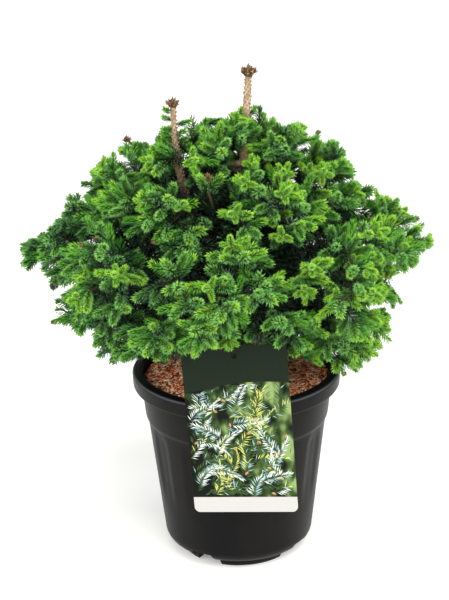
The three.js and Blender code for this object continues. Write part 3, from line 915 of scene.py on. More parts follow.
    def clear_along(self, start: Array, end: Array, radius: float) -> bool:
        """Returns True if a straight piece of growth, slim at both ends, is clear of everything."""
        for i in range(9):
            point = start + (end - start) * i / 8
            near = radius * self.plan.slim_ends if i in (0, 8) else radius
            if not self.clear_of_limbs(point, near) or not self.clear_of_pot(point, near):
                return False
        return True

    def tip_point(self, mass: Mass, direction: Array, unevenness: float) -> Array:
        """Returns how far growth reaches in a direction: most on the mass's own axis."""
        cosine = float(np.clip(mass.direction @ direction, -1, 1))
        opened = acos(cosine) / self.plan.dome_angle
        reach = mass.reach * (1 - self.plan.dome * min(1, opened * opened)) * (1 - unevenness)
        return self.centre + direction * reach

    def _on_stem(self, mass: Mass, share: float) -> Array:
        """Returns a point on the stem's middle line, straight from ring to ring."""
        steps = self.plan.stem_steps
        ring = min(int(share * steps), steps - 1)
        start, end = mass.stem.at(ring / steps), mass.stem.at((ring + 1) / steps)
        return start + (end - start) * (share * steps - ring)

    def _twig_root(self, mass: Mass, tip: Array, lean: float) -> Array:
        """Returns the point of the stem that a twig leaves, leaning forward to its tip."""
        foot = mass.stem.at(0)
        along = mass.stem.at(1) - foot
        length = float(norm(along))
        along = along / length
        forward = float((tip - foot) @ along)
        sideways = float(norm(foot + along * forward - tip))
        share = (forward - lean * sideways) / length
        return self._on_stem(mass, min(max(share, self.plan.twig_first / length), self.plan.twig_last))

    @staticmethod
    def _spray_points(foot: Array, end: Array, radius: float) -> Array:
        """Returns the outermost points of a spray's two whorls of needles."""
        axis = unit(end - foot)
        turn = np.array(Vector(FORWARD).rotation_difference(Vector(axis)).to_matrix())
        whorls = [(0.5, turn @ UP * radius), (0.88, turn @ ASIDE * 0.8 * radius)]
        outer = [foot + (end - foot) * share + reach * side for share, reach in whorls for side in (1, -1)]
        return np.array([foot, end, *outer])

    def _add_spray(self, mass: Mass, start: Array, direction: Array, length: float) -> bool:
        """Keeps a spray if there is room for it, and returns whether there was."""
        plan = self.plan
        foot = start - direction * plan.spray_sink
        end = start + direction * (length - plan.spray_sink)
        radius = plan.spray_radius * length / plan.spray_length
        middle = foot + (end - foot) * 0.69
        crowded = any(norm(other - middle) < plan.spray_spacing for other in mass.spray_middles)
        if crowded or self.in_hollow(end) or not self.clear_along(foot, end, radius):
            return False
        if not self.in_own_space(mass, self._spray_points(foot, end, radius), plan.margin):
            return False
        mass.spray_middles.append(middle)
        self.sprays.append((foot, end))
        return True

    def _add_twig(self, mass: Mass, direction: Array, lean: float, unevenness: float, draw: SeededNumbers) -> bool:
        """Grows one twig with its sprays if there is room for it, and returns whether there was."""
        plan = self.plan
        tip = self.tip_point(mass, direction, unevenness)
        root = self._twig_root(mass, tip, lean)
        aim = unit(unit(tip - root) + direction)
        if mass.ring.elevation < plan.droop_below:
            aim = aim - UP * plan.spray_droop
        aim = unit(aim)
        end = tip + aim * (plan.spray_sink - plan.spray_length)
        free = self.in_own_space(mass, np.array([root, end]), plan.margin + plan.twig_radius)
        free = free and self.clear_along(root, end, plan.twig_radius)
        if not free or not self._add_spray(mass, end, aim, plan.spray_length):
            return False
        self.twigs.append((root, end))
        back = root - end
        length = float(norm(back))
        back = back / length
        across = turned(sides_of(aim)[0], aim, (draw() - 0.5) * plan.side_twist)
        first = 1 if draw() < 0.5 else -1
        for i, behind in enumerate(plan.side_behind):
            side = -first if i % 2 else first
            base = end + back * min(behind, plan.side_last * length)
            away = unit(around((aim, across * side), plan.side_splay))
            self._add_spray(mass, base, away, plan.spray_length * plan.side_scale)
        return True

    def _grow(self, mass: Mass) -> None:
        """Grows all twigs and sprays of one mass, each leaning back to the mass's axis where it is crowded."""
        plan, draw = self.plan, SeededNumbers(mass.seed * 104729)
        self._add_twig(mass, mass.direction, plan.twig_leans[0], 0, draw)
        tries = [(lean, twig_lean) for lean in plan.tip_leans for twig_lean in plan.twig_leans]
        for direction in mass.directions:
            unevenness = plan.tip_uneven * draw()
            for lean, twig_lean in tries:
                leaning = unit(direction + (mass.direction - direction) * lean)
                if self._add_twig(mass, leaning, twig_lean, unevenness, draw):
                    break


# Finer growth: shoots and their needles


@dataclass(frozen=True)
class Habit:
    """How the needles stand on one kind of shoot, in millimetres and radians."""

    needle: float
    per_mm: float
    open_angle: float
    tip_angle: float
    width: float
    above: float
    below: float


FULL = Habit(9.0, 3.1, 57 * DEGREE, 36 * DEGREE, 1.5, 0.74, 1.12)
PLUMP = Habit(8.2, 4.4, 47 * DEGREE, 36 * DEGREE, 1.5, 0.82, 1.05)
YOUNG = Habit(5.4, 6.2, 48 * DEGREE, 36 * DEGREE, 1.4, 0.9, 1.05)
LAST_YEAR = Habit(9.2, 2.4, 62 * DEGREE, 48 * DEGREE, 1.2, 0.9, 1.05)
INNER = Habit(12.0, 1.5, 66 * DEGREE, 30 * DEGREE, 2.3, 1.0, 1.0)


@dataclass(frozen=True)
class Shoot:
    """One year's growth: its axis, its habit, and the ages of its needles from foot to tip."""

    base: Array
    direction: Array
    length: float
    bend: Array
    habit: Habit
    ages: Ages

    def axis_at(self, share: float | Array) -> Array:
        """Returns the point, or the points, of the axis at a share of its length."""
        share = np.asarray(share)[..., None]
        return self.base + self.direction * self.length * share + self.bend * share**2


class NeedleStore:
    """Collects needles by age, and makes joined pieces of each age."""

    THICKNESS = 0.5
    WIDEST = 0.68
    AGE_STEPS = (0.3, 0.74)
    # Painted shade: the share of needles dealt the next deeper grade, most on a shoot's underside and few on its top.
    DARKER_BELOW, DARKER_ABOVE = 0.95, 0.16
    TIP_CLOSING = 0.97
    CAP_FROM, CAP_SIZE, CAP_ANGLES = 0.925, 0.66, (10 * DEGREE, 58 * DEGREE)
    MOST_PER_PIECE = 48000

    def __init__(self, seed: int) -> None:
        """Starts with no needles."""
        self.random = np.random.default_rng(seed)
        self.rows: dict[Age, list[Array]] = {age: [] for age in Age}

    def add_shoot(self, shoot: Shoot) -> None:
        """Adds the needles of one shoot, spiralling up its axis and closing over its tip, with painted shade on its
        underside.
        """
        habit, random = shoot.habit, self.random
        count = max(6, int(shoot.length * habit.per_mm))
        share = (np.arange(count) + 0.5) / count
        tangent = unit(shoot.direction * shoot.length + 2 * shoot.bend * share[:, None])
        across, other = sides_of(shoot.direction)
        turn = np.arange(count) * GOLDEN_TURN + random.uniform(0, 2 * pi)
        turn = turn + random.uniform(-0.3, 0.3, count)
        outward = np.cos(turn)[:, None] * across + np.sin(turn)[:, None] * other
        outward = unit(outward - tangent * np.sum(outward * tangent, axis=1, keepdims=True))
        lift = (outward[:, 2] + 1) / 2
        angle = lerp(habit.open_angle, habit.tip_angle, share**5)
        closing = 1 - self.TIP_CLOSING * share**5 * random.random(count) ** 0.6
        angle = angle * closing * lerp(habit.below, habit.above, lift) + random.uniform(-0.09, 0.09, count)
        cap = share > self.CAP_FROM
        angle = np.where(cap, random.uniform(*self.CAP_ANGLES, count), angle)
        aim = tangent * np.cos(angle)[:, None] + outward * np.sin(angle)[:, None]
        over = unit(tangent - aim * np.sum(aim * tangent, axis=1, keepdims=True) - 0.25 * outward)
        full = np.minimum(0.74 + share * 2.4, 0.84 + (1 - share) * 1.4)
        size = habit.needle * np.minimum(1.0, full) * random.uniform(0.92, 1.06, count)
        size = np.where(cap, size * self.CAP_SIZE, size)
        root, width = shoot.axis_at(share) + outward * 0.4, np.full((count, 1), habit.width)
        rows = np.hstack([root, aim, over, size[:, None], width])
        part = np.digitize(share + random.uniform(-0.1, 0.1, count), self.AGE_STEPS)
        ranks = np.array([age.rank() for age in shoot.ages])[part]
        # Painted shade: downward-facing needles, apart from the tip's cap, mostly take the next deeper grade.
        painted_shade = ~cap & (random.random(count) < lerp(self.DARKER_BELOW, self.DARKER_ABOVE, lift))
        ranks = np.where(painted_shade & (ranks < Age.OLD.rank()), ranks + 1, ranks)
        for age in Age:
            self.rows[age].append(rows[ranks == age.rank()])

    def pieces(self) -> list[Piece]:
        """Returns the joined needle pieces, one or more for each age."""
        made = []
        for age in Age:
            rows = np.vstack(self.rows[age])
            parts = ceil(len(rows) / self.MOST_PER_PIECE)
            materials = [finish.material() for finish in age.finishes()]
            for i, part in enumerate(np.array_split(rows, parts)):
                made.append(self._piece(f"{age.value[0]}_{i + 1}", part, materials))
        return made

    def _piece(self, name: str, rows: Array, materials: Sequence[Material]) -> Piece:
        """Makes one joined piece of needles, each a closed shape with a ridge and four faces.

        Args:
            name: The piece's name.
            rows: Each needle's root, aim, inner side, length and width.
            materials: The finishes of the outer and of the inner side.

        Returns:
            The object.
        """
        root, aim, over = rows[:, 0:3], rows[:, 3:6], rows[:, 6:9]
        size, width = rows[:, 9:10], rows[:, 10:11]
        wide = np.cross(aim, over) * width / 2
        middle = root + aim * size * self.WIDEST + over * self.THICKNESS
        corners = np.stack([root, middle + wide, middle - wide, root + aim * size], axis=1)
        pattern = np.array([[0, 3, 1], [0, 2, 3], [0, 1, 2], [3, 2, 1]])
        triangles = (pattern[None] + np.arange(len(rows))[:, None, None] * 4).reshape(-1, 3)
        dealt = np.tile([0, 0, 1, 1], len(rows))
        return joined_mesh(name, corners.reshape(-1, 3) * MM, triangles, materials, dealt)


class ShapeStore:
    """Collects small closed shapes, twigs and buds, and joins them."""

    SCALES = 7

    def __init__(self, seed: int) -> None:
        """Starts with nothing."""
        self.random = np.random.default_rng(seed)
        self.vertices: list[Array] = []
        self.triangles: list[Array] = []
        self.dealt: list[int] = []
        self.count = 0

    def _add(self, places: Sequence[Array], faces: Sequence[Sequence[int]], finish: int) -> None:
        """Adds one closed shape."""
        self.vertices.append(np.array(places))
        self.triangles.append(np.array(faces) + self.count)
        self.dealt += [finish] * len(faces)
        self.count += len(places)

    def add_twig(self, points: Array, foot_radius: float, tip_radius: float, sides: int = 4, finish: int = 0) -> None:
        """Adds a closed tapering twig.

        Args:
            points: Rows of x, y and z in millimetres, from foot to tip.
            foot_radius: The radius at the foot.
            tip_radius: The radius at the tip.
            sides: The number of sides.
            finish: The number of its finish.
        """
        rings = len(points)
        places = []
        for i, point in enumerate(points):
            square = sides_of(unit(points[min(i + 1, rings - 1)] - points[max(i - 1, 0)]))
            radius = lerp(foot_radius, tip_radius, i / (rings - 1))
            places += [point + around(square, side * 2 * pi / sides) * radius for side in range(sides)]
        places += [points[0], points[-1]]
        foot, tip, last = rings * sides, rings * sides + 1, (rings - 1) * sides
        faces = []
        for side in range(sides):
            follow = (side + 1) % sides
            for ring in range(0, last, sides):
                a, b = ring + side, ring + follow
                faces += [[a, a + sides, b + sides], [a, b + sides, b]]
            faces += [[foot, side, follow], [tip, last + follow, last + side]]
        self._add(places, faces, finish)

    def add_bud(self, base: Array, direction: Array, length: float, radius: float) -> None:
        """Adds one bud: a pointed core in loose scales.

        Args:
            base: Its foot, in millimetres.
            direction: The way it points.
            length: Its length.
            radius: Its radius.
        """
        square = sides_of(direction)
        self.add_twig(base + np.outer([0, 0.4, 0.75, 1], direction * length), radius * 0.75, radius * 0.1, 6)
        for i in range(self.SCALES):
            flat = around(square, i * GOLDEN_TURN + self.random.uniform(-0.3, 0.3))
            wide = unit(np.cross(direction, flat)) * radius * 0.55
            foot = base + flat * radius * 0.4 + direction * length * 0.12 * (i % 3)
            out = self.random.uniform(0.3, 1.0)
            tip = foot + direction * length * self.random.uniform(0.4, 0.75) + flat * radius * out
            middle = (foot + tip) / 2 + flat * 0.35
            self._add([foot, middle + wide, middle - wide, tip], [[0, 1, 3], [0, 3, 2], [0, 2, 1], [3, 1, 2]], i % 3)

    def piece(self, name: str, finishes: Sequence[PlainFinish]) -> Piece:
        """Returns the joined piece."""
        vertices, triangles = np.vstack(self.vertices) * MM, np.vstack(self.triangles)
        materials = [finish.material() for finish in finishes]
        obj = joined_mesh(name, vertices, triangles, materials, np.array(self.dealt))
        recalculate_normals(obj)
        return obj


@dataclass(frozen=True)
class View:
    """Where the crown is looked at from: from the front, a little above the rim."""

    rim_height: float = 207.2
    distance: float = 2000
    pitch: float = 22.43 * DEGREE
    roll: float = 1.06 * DEGREE

    def axes(self) -> tuple[Array, Array, Array]:
        """Returns the directions ahead, up and to the right."""
        low, high = cos(self.pitch), sin(self.pitch)
        return np.array([0, low, -high]), np.array([0, high, low]), ASIDE

    def seen(self, points: Array) -> Array:
        """Returns rows of right, up and distance, with right and up as angles' tangents."""
        ahead, up, right = self.axes()
        offset = np.atleast_2d(points) - (np.array([0, 0, self.rim_height]) - ahead * self.distance)
        away = offset @ ahead
        return np.stack([offset @ right / away, offset @ up / away, away], axis=1)


@dataclass(frozen=True)
class CrownOutline:
    """How far the crown reaches from its middle, as seen from the front, in steps of angle."""

    view: View
    centre: Array
    step: float = 6 * DEGREE
    over_pot: Pair = (-141 * DEGREE, -39 * DEGREE)
    reaches: tuple[float, ...] = (
        (211, 182, 179, 186, 172, 154, 163, 158, 138, 122, 118, 103, 102, 98, 96)
        + (95, 95, 93, 88, 90, 95, 102, 128, 178, 181, 189, 195, 181, 194, 168)
        + (206, 221, 215, 202, 187, 168, 172, 173, 177, 171, 172, 158, 164, 171, 165)
        + (149, 156, 147, 154, 158, 144, 163, 166, 166, 169, 172, 176, 176, 185, 211)
    )
    gaps: Places = ((-41, 136, 3), (-40, 114, 3), (-101, 110, 1))

    def in_gap(self, points: Array, radius: float) -> bool:
        """Returns True if any point covers a gap, given by its place as seen from the middle and its size."""
        angle, away = self.polar(points)
        seen = np.stack([np.cos(angle), np.sin(angle)], axis=1) * away[:, None]
        return any((np.hypot(*(seen - gap[:2]).T) < gap[2] + radius).any() for gap in self.gaps)

    def polar(self, points: Array) -> tuple[Array, Array]:
        """Returns the angle and the distance of points from the crown's middle, as seen."""
        middle = self.view.seen(self.centre)[0]
        offset = (self.view.seen(points)[:, :2] - middle[:2]) * middle[2]
        x, y = offset.T
        return np.arctan2(y, x) + self.view.roll, np.hypot(x, y)

    def excess(self, points: Array) -> Array:
        """Returns how far points lie outside the outline."""
        angle, away = self.polar(points)
        at = (angle + pi) / self.step
        reaches = (*self.reaches, self.reaches[0])
        return away - np.interp(at % len(self.reaches), np.arange(len(reaches)), reaches)

    def tips(self) -> list[Array]:
        """Returns the outermost places of the outline, apart from those over the pot."""
        _, up, right = self.view.axes()
        places = []
        for i, reach in enumerate(self.reaches):
            angle = i * self.step - pi
            if not self.over_pot[0] < angle < self.over_pot[1]:
                places.append(self.centre + around((right, up), angle - self.view.roll) * reach)
        return places


@dataclass
class Foliage:
    """The finer growth of all masses: shoots, twigs, buds and needles."""

    rule: GrowthRule
    outline: CrownOutline
    seed: int = 41
    node_share: float = 0.4
    plump_share: float = 0.65
    budded_share: float = 0.03
    side_length: Pair = (25, 35)
    side_angle: Pair = (40, 62)
    layers: tuple[tuple[int, float, float, float], ...] = (
        (220, -0.04, 34.0, 64.0), (1500, 0.03, 19.0, 64.0), (1300, 0.11, 17.5, 64.0), (700, 0.17, 17.0, 64.0),
        (700, 0.24, 15.5, 115.0), (560, 0.33, 15.0, 115.0), (460, 0.44, 15.0, 115.0), (320, 0.56, 15.0, 115.0),
    )
    bare_above: Pair = (484, 444)
    bare_between: Pair = (402, 424)
    own_tips: Places = (
        (129, -8, 199), (-188, 0, 262), (-170, 10, 246), (149, -5, 220), (168, 0, 285), (173, 0, 392),
        (200, 0, 332), (-222, 0, 343), (-219, 0, 328), (77, 0, 479), (109, 0, 456), (122, -34, 214),
        (-118, -30, 218), (13, -14, 490), (28, 2, 494), (44, -6, 484), (2, -12, 474), (-12, -6, 470),
        (30, -26, 474), (60, 0, 462), (12, -34, 476), (72, -13, 215), (-75, -13, 216), (66, -4, 496),
        (120, -2, 455),
    )
    dark_tips: Places = (
        (27, 13, 228), (46, 8, 226), (64, 0, 222), (-62, -8, 216), (-80, -22, 214), (84, -20, 212),
        (-135, 30, 352), (-122, 30, 346), (-112, 25, 335), (-131, 45, 348), (-90, 40, 326), (-104, 45, 320),
        (-116, 45, 272), (-106, 52, 264), (-126, 40, 280), (-92, 6, 217), (-70, 8, 218), (-50, 6, 219),
    )
    closing_tips: Places = (
        (54, 45, 427), (54, 72, 416), (49, 60, 408), (64, 30, 459), (70, 52, 450), (79, 45, 411), (80, 72, 400),
        (125, 45, 381), (125, 72, 370), (136, 58, 372), (76, 45, 344), (82, 68, 335), (126, 45, 340),
        (-90, 60, 322),
    )

    def __post_init__(self) -> None:
        """Prepares the stores."""
        self.random = np.random.default_rng(self.seed)
        self.needles = NeedleStore(self.seed + 1)
        self.twigs = ShapeStore(self.seed + 2)
        self.buds = ShapeStore(self.seed + 3)
        self.tips: list[Array] = []
        self.joints: list[Array] = []
        low, high = self.bare_between
        points = [p for p in self.rule.trunk_route.points if p[2] > self.bare_above[0]]
        points += [p for p in self.rule.leader_route.points if p[2] > self.bare_above[1] or low < p[2] < high]
        self.leaders_seen = self.outline.view.seen(np.array(points))

    def build(self) -> None:
        """Grows everything and makes the pieces."""
        plan = self.rule.plan
        for foot, end in self.rule.sprays:
            self._branchlet(foot, end)
        for root, end in self.rule.twigs:
            self._wood(root, end, 1.5, 1.1, INNER, (Age.OLD,) * 3)
            self.joints += [root + (end - root) * share for share in (0.35, 0.65, 0.9)]
        for mass in self.rule.masses:
            points = np.array([mass.stem.at(i / 4) for i in range(5)])
            self.twigs.add_twig(points, plan.stem_foot, plan.stem_tip, 6)
            self.joints += list(points[1:])
        for tips, depth in ((self.own_tips, 0.1), (self.dark_tips, 0.25)):
            grown = [self._reach_for(np.array(tip), depth) for tip in tips]
            LOG.info("%d of %d places of their own", sum(grown), len(grown))
        grown = sum(self._reach_for(tip, 0.0) for tip in self.outline.tips() if self._is_open(tip, 9.0))
        LOG.info("outline: %d branchlets", grown)
        for layer in self.layers:
            self._fill(*layer)
        grown = sum(self._reach_for(np.array(tip), 0.25) for tip in self.closing_tips)
        LOG.info("%d of %d gaps closed; %d shoots", grown, len(self.closing_tips), len(self.tips))
        nodes = [f"foliage_{mass.name}" for mass in self.rule.masses]
        for obj in self.needles.pieces():
            keep_piece(obj, obj.name, nodes)
        keep_piece(self.twigs.piece("twigs", TWIG_FINISHES), "twigs", nodes)
        keep_piece(self.buds.piece("bud_scales", BUD_FINISHES), "bud_scales")

    def _painted_light(self, tip: Array, depth: float) -> float:
        """Returns a shoot's painted light: brightest at the front, on the right and on top, dimmer deeper in the
        crown, with a random spread.
        """
        offset = (tip - self.rule.centre) / 200
        place = 0.42 + 0.16 * offset[0] - 0.14 * offset[1] + 0.08 * offset[2]
        return place + self.random.normal(0, 0.17) - 2.2 * depth

    def _ages(self, light: float) -> Ages:
        """Returns the colour grades of a shoot's needles from foot to tip, paler towards the tip as young growth is,
        and paler or deeper overall as painted light.
        """
        grades = [
            (0.78, (Age.FRESH, Age.LIME, Age.LIME)),
            (0.58, (Age.LEAF, Age.FRESH, Age.LIME)),
            (0.36, (Age.LEAF, Age.FRESH, Age.FRESH)),
            (0.16, (Age.DEEP, Age.LEAF, Age.FRESH)),
            (-0.08, (Age.DEEP, Age.LEAF, Age.LEAF)),
            (-0.5, (Age.OLD, Age.DEEP, Age.LEAF)),
        ]
        return next((ages for least, ages in grades if light > least), (Age.OLD, Age.OLD, Age.DEEP))

    def _is_open(self, tip: Array, spacing: float) -> bool:
        """Returns True if no shoot ends near a place."""
        return bool(np.min(norm(np.array(self.tips) - tip, axis=1)) > spacing)

    def _free(self, start: Array, end: Array, radius: float, inner: bool) -> bool:
        """Returns True if a shoot stays clear of the pot, the card, the limbs and the open places."""
        points = start + np.outer([0.35, 0.7, 1.0], end - start)
        if not inner and any(self.rule.in_hollow(point) for point in points[1:]):
            return False
        if not all(self.rule.clear_of_pot(point, radius) for point in points) or self.outline.in_gap(points, radius):
            return False
        if self.outline.excess(points).max() > 1 or not self.rule.clear_of_limbs(end, radius * 0.5):
            return False
        seen = self.outline.view.seen(points)
        across = (seen[:, None, :2] - self.leaders_seen[None, :, :2]) * self.outline.view.distance
        hides = (norm(across, axis=2) < 8) & (seen[:, None, 2] < self.leaders_seen[None, :, 2])
        return not hides.any()

    def _shoot(self, base: Array, direction: Array, length: float, habit: Habit, ages: Ages) -> Shoot | None:
        """Grows one shoot if it has room, shorter where that helps.

        Args:
            base: Its foot, in millimetres.
            direction: The way it points.
            length: Its length to the tips of its last needles.
            habit: How its needles stand.
            ages: The ages of its needles.

        Returns:
            The shoot, or None.
        """
        random = self.random
        for part in (1.0, 0.82, 0.66):
            if self._free(base, base + direction * length * part, habit.needle * 0.6, habit is INNER):
                break
        else:
            return None
        axis = length * part - habit.needle * 0.72
        sag = 0.09 if direction[2] < 0.75 else 0.0
        bend = random.normal(0, 0.04 * axis, 3) - UP * sag * axis
        shoot = Shoot(base, direction, axis, bend, habit, ages)
        self.needles.add_shoot(shoot)
        self.twigs.add_twig(shoot.axis_at(np.array([0, 0.55, 1.0])), 0.8, 0.35, 3, 1)
        self.tips.append(base + direction * length * part * 0.8)
        return shoot

    def _wood(
        self, start: Array, end: Array, foot: float, tip: float, habit: Habit = LAST_YEAR, ages: Ages = DARK_AGES
    ) -> None:
        """Grows an older twig with its older needles."""
        self.twigs.add_twig(np.array([start, (start + end) / 2, end]), foot, tip)
        length = float(norm(end - start))
        if length > 5:
            self.needles.add_shoot(Shoot(start, (end - start) / length, length, np.zeros(3), habit, ages))

    def _young_tips(self, node: Array, axis: Array) -> None:
        """Grows a cluster of short new tips round a scaly brown node."""
        random = self.random
        square = sides_of(axis)
        count = int(random.integers(3, 6))
        self.buds.add_bud(node - axis * 1.5, axis, 4.5, 2.0)
        for i in range(count + 1):
            turn = i * 2 * pi / count + random.uniform(-0.3, 0.3)
            angle = random.uniform(48, 68) * DEGREE if i < count else random.uniform(0, 15) * DEGREE
            away = unit(around((axis, around(square, turn)), angle))
            self._shoot(node, away, random.uniform(12, 17), YOUNG, (Age.LIME,) * 3)

    def _branchlet(self, start: Array, end: Array) -> None:
        """Grows last year's twig from its foot, with this year's shoots round its end."""
        axis = unit(end - start)
        length = float(norm(end - start))
        light = self._painted_light(end, 0.0)
        node = start + axis * length * self.node_share
        frosted = self.random.random() < 0.3
        ages = (Age.DEEP, Age.FROST, Age.FROST) if frosted else DARK_AGES
        self._wood(start, node, 1.2, 0.9, LAST_YEAR, ages)
        self.joints.append(node)
        self._whorl(node, axis, length * (1 - self.node_share), light, int(self.random.integers(2, 4)))

    def _whorl(self, node: Array, axis: Array, lead: float, light: float, count: int) -> bool:
        """Grows a leading shoot and its side shoots from a node.

        Args:
            node: The node, in millimetres.
            axis: The way the leading shoot points.
            lead: The leading shoot's length.
            light: The whorl's painted light, which picks its needles' colour grades and whether it gets young tips.
            count: The number of side shoots.

        Returns:
            True if the leading shoot had room.
        """
        random = self.random
        young = light > 0.5 and random.random() < 0.5 and lead > 24
        habit = PLUMP if random.random() < self.plump_share else FULL
        shoot = self._shoot(node, axis, lead * (0.72 if young else 1.0), habit, self._ages(light - 0.25 * young))
        if young and shoot:
            self._young_tips(shoot.axis_at(1.0), axis)
        if random.random() < 0.2:
            self.buds.add_bud(node, axis, 4.0, 1.7)
        if shoot and not young and random.random() < self.budded_share:
            end = shoot.axis_at(1.0)
            for turn in (0, 2.1, 4.2):
                self.buds.add_bud(end + axis * 2, unit(axis + direction_of(turn, 0) * 0.7), 5.0, 1.8)
        across, other = sides_of(axis)
        first = random.choice([-1, 1])
        for i in range(count):
            tilt = random.uniform(-25, 50) * DEGREE
            outward = around((across * first * (-1) ** i, other), tilt)
            away = unit(around((axis, outward), random.uniform(*self.side_angle) * DEGREE))
            foot = node - axis * random.uniform(0, 4) * (i // 2)
            ages = self._ages(light + random.normal(0, 0.16))
            habit = PLUMP if random.random() < self.plump_share else FULL
            self._shoot(foot, away, random.uniform(*self.side_length), habit, ages)
        return shoot is not None

    def _reach_for(self, tip: Array, depth: float, farthest: float = 130.0) -> bool:
        """Grows a branchlet from the nearest wood to a place.

        Args:
            tip: The place, in millimetres.
            depth: How far inside the crown it lies, as a share.
            farthest: The longest twig that may lead there.

        Returns:
            True if it grew.
        """
        random = self.random
        joints = np.array(self.joints)
        direction = unit(tip - self.rule.centre)
        away = norm(joints - tip, axis=1)
        inward = (tip - joints) @ direction
        suited = np.where((away < farthest) & (away > 20) & (inward > 0.45 * away), away, 1e9)
        if suited.min() > 1e8:
            return False
        root = joints[int(np.argmin(suited))]
        aim = unit(unit(tip - root) + direction * 0.6)
        lead = min(31.0, float(norm(tip - root)))
        node = tip - aim * lead
        # Painted shade: shoots deep inside the crown get only the oldest and deep grades.
        if depth > 0.2:
            ages = (Age.OLD, Age.OLD, Age.DEEP if depth < 0.3 else Age.OLD)
            grown = self._shoot(node, aim, lead + 6, INNER, ages) is not None
        else:
            sides = int(random.integers(1, 4))
            grown = self._whorl(node, aim, lead, self._painted_light(tip, depth), sides)
        if grown:
            self._wood(root, node, 1.1, 0.8)
            if norm(node - root) > 20:
                self.joints += [node, (node + root) / 2]
        return grown

    def _fill(self, count: int, depth: float, spacing: float, farthest: float) -> None:
        """Grows finer branchlets wherever the crown is still open.

        Args:
            count: How many directions are tried.
            depth: How far inside the crown's surface they end, as a share.
            spacing: How near to another tip they may end.
            farthest: The longest twig that may lead there.
        """
        rule, grown = self.rule, 0
        lowest = -46 * DEGREE if depth < 0.2 else -66 * DEGREE
        for direction in rule.spread_directions(count, lowest):
            mass = rule.owner_of(direction)
            tip = rule.tip_point(mass, direction, depth + 0.08 * self.random.random())
            outside = float(self.outline.excess(tip)[0])
            valley = self.random.uniform(4, 24) if depth > 0 else 2
            if outside > -valley:
                tip = tip - unit(tip - rule.centre) * (outside + valley)
            if self._is_open(tip, spacing):
                grown += self._reach_for(tip, depth, farthest)
        LOG.info("layer at depth %.2f: %d branchlets", depth, grown)


# Trunk, leaders and boughs


@dataclass
class Limbs:
    """The trunk, both leaders and the boughs, as tubes with bark relief."""

    rule: GrowthRule
    flakes: tuple[Pair, ...] = ((4.5, 1.0), (1.6, 0.5))
    ring_step: float = 1.5
    cut: float = 196.3
    pegs_per_mm: float = 1.7
    seed: int = 77

    def build(self) -> None:
        """Builds all limbs, with the trunk cut off flat at the mulch."""
        rule, bark = self.rule, BarkFinish().material()
        trunk = self._tubes("trunk_bark", [(rule.trunk_route, rule.trunk.radius)], 28, bark)
        with editing(trunk):
            bpy.ops.mesh.bisect(plane_co=(0, 0, self.cut * MM), plane_no=(0, 0, 1), clear_inner=True, use_fill=True)
        leader = self._tubes("leader_bark", [(rule.leader_route, rule.leader.radius)], 18, bark)
        boughs = self._tubes("bough_bark", [(mass.bough, rule.plan.bough_radius) for mass in rule.masses], 12, bark)
        keep_piece(trunk, "trunk_bark", ["trunk"])
        keep_piece(leader, "leader_bark", ["second_leader"])
        keep_piece(boughs, "bough_bark", [f"bough_{mass.name}" for mass in rule.masses])
        self._pegs()

    def _tubes(
        self, name: str, limbs: Sequence[tuple[Route, Callable[[float], float]]], sides: int, bark: Material
    ) -> Piece:
        """Bevels curves into tubes and displaces them into bark.

        Args:
            name: The piece's name.
            limbs: Each limb's route with its radius by share of length.
            sides: The tube's sides.
            bark: The finish.

        Returns:
            The object.
        """
        curve = bpy.data.curves.new(name, "CURVE")
        curve.dimensions, curve.twist_mode, curve.use_fill_caps = "3D", "MINIMUM", True
        curve.bevel_depth, curve.bevel_resolution = 1.0, sides // 4
        for route, radius in limbs:
            count = max(6, int(route.length / self.ring_step))
            spline = curve.splines.new("POLY")
            spline.points.add(count)
            for i, point in enumerate(spline.points):
                point.co = (*(route.at(i / count) * MM), 1)
                point.radius = radius(i / count) * MM
        obj = bpy.data.objects.new(name, curve)
        bpy.context.scene.collection.objects.link(obj)
        make_active(obj)
        bpy.ops.object.convert(target="MESH")
        obj = bpy.context.view_layer.objects.active
        dress(obj, bark)
        recalculate_normals(obj)
        for size, depth in self.flakes:
            roughen(obj, size, depth, 0.6)
        apply_modifiers(obj)
        smooth_under(obj, 50 * DEGREE)
        return obj

    def _pegs(self) -> None:
        """Stands the pegs that fallen needles left round both bare leaders."""
        random, store, rule = np.random.default_rng(self.seed), ShapeStore(self.seed), self.rule
        bare = [(rule.trunk_route, rule.trunk.radius, 0.72), (rule.leader_route, rule.leader.radius, 0.45)]
        for route, radius, start in bare:
            count = int(route.length * (1 - start) * self.pegs_per_mm)
            for i in range(count):
                share = lerp(start, 0.99, (i + random.random()) / count)
                point, ahead = route.at(share), route.at(min(share + 0.01, 1))
                axis = unit(ahead - route.at(share - 0.01))
                outward = around(sides_of(axis), i * GOLDEN_TURN)
                foot = point + outward * (radius(share) - 0.4)
                tip = foot + outward * random.uniform(0.9, 2.1) + axis * random.uniform(1.0, 2.6)
                store.add_twig(np.array([foot, tip]), 0.95, 0.4)
        keep_piece(store.piece("leader_pegs", [PEG_TAN]), "leader_pegs")


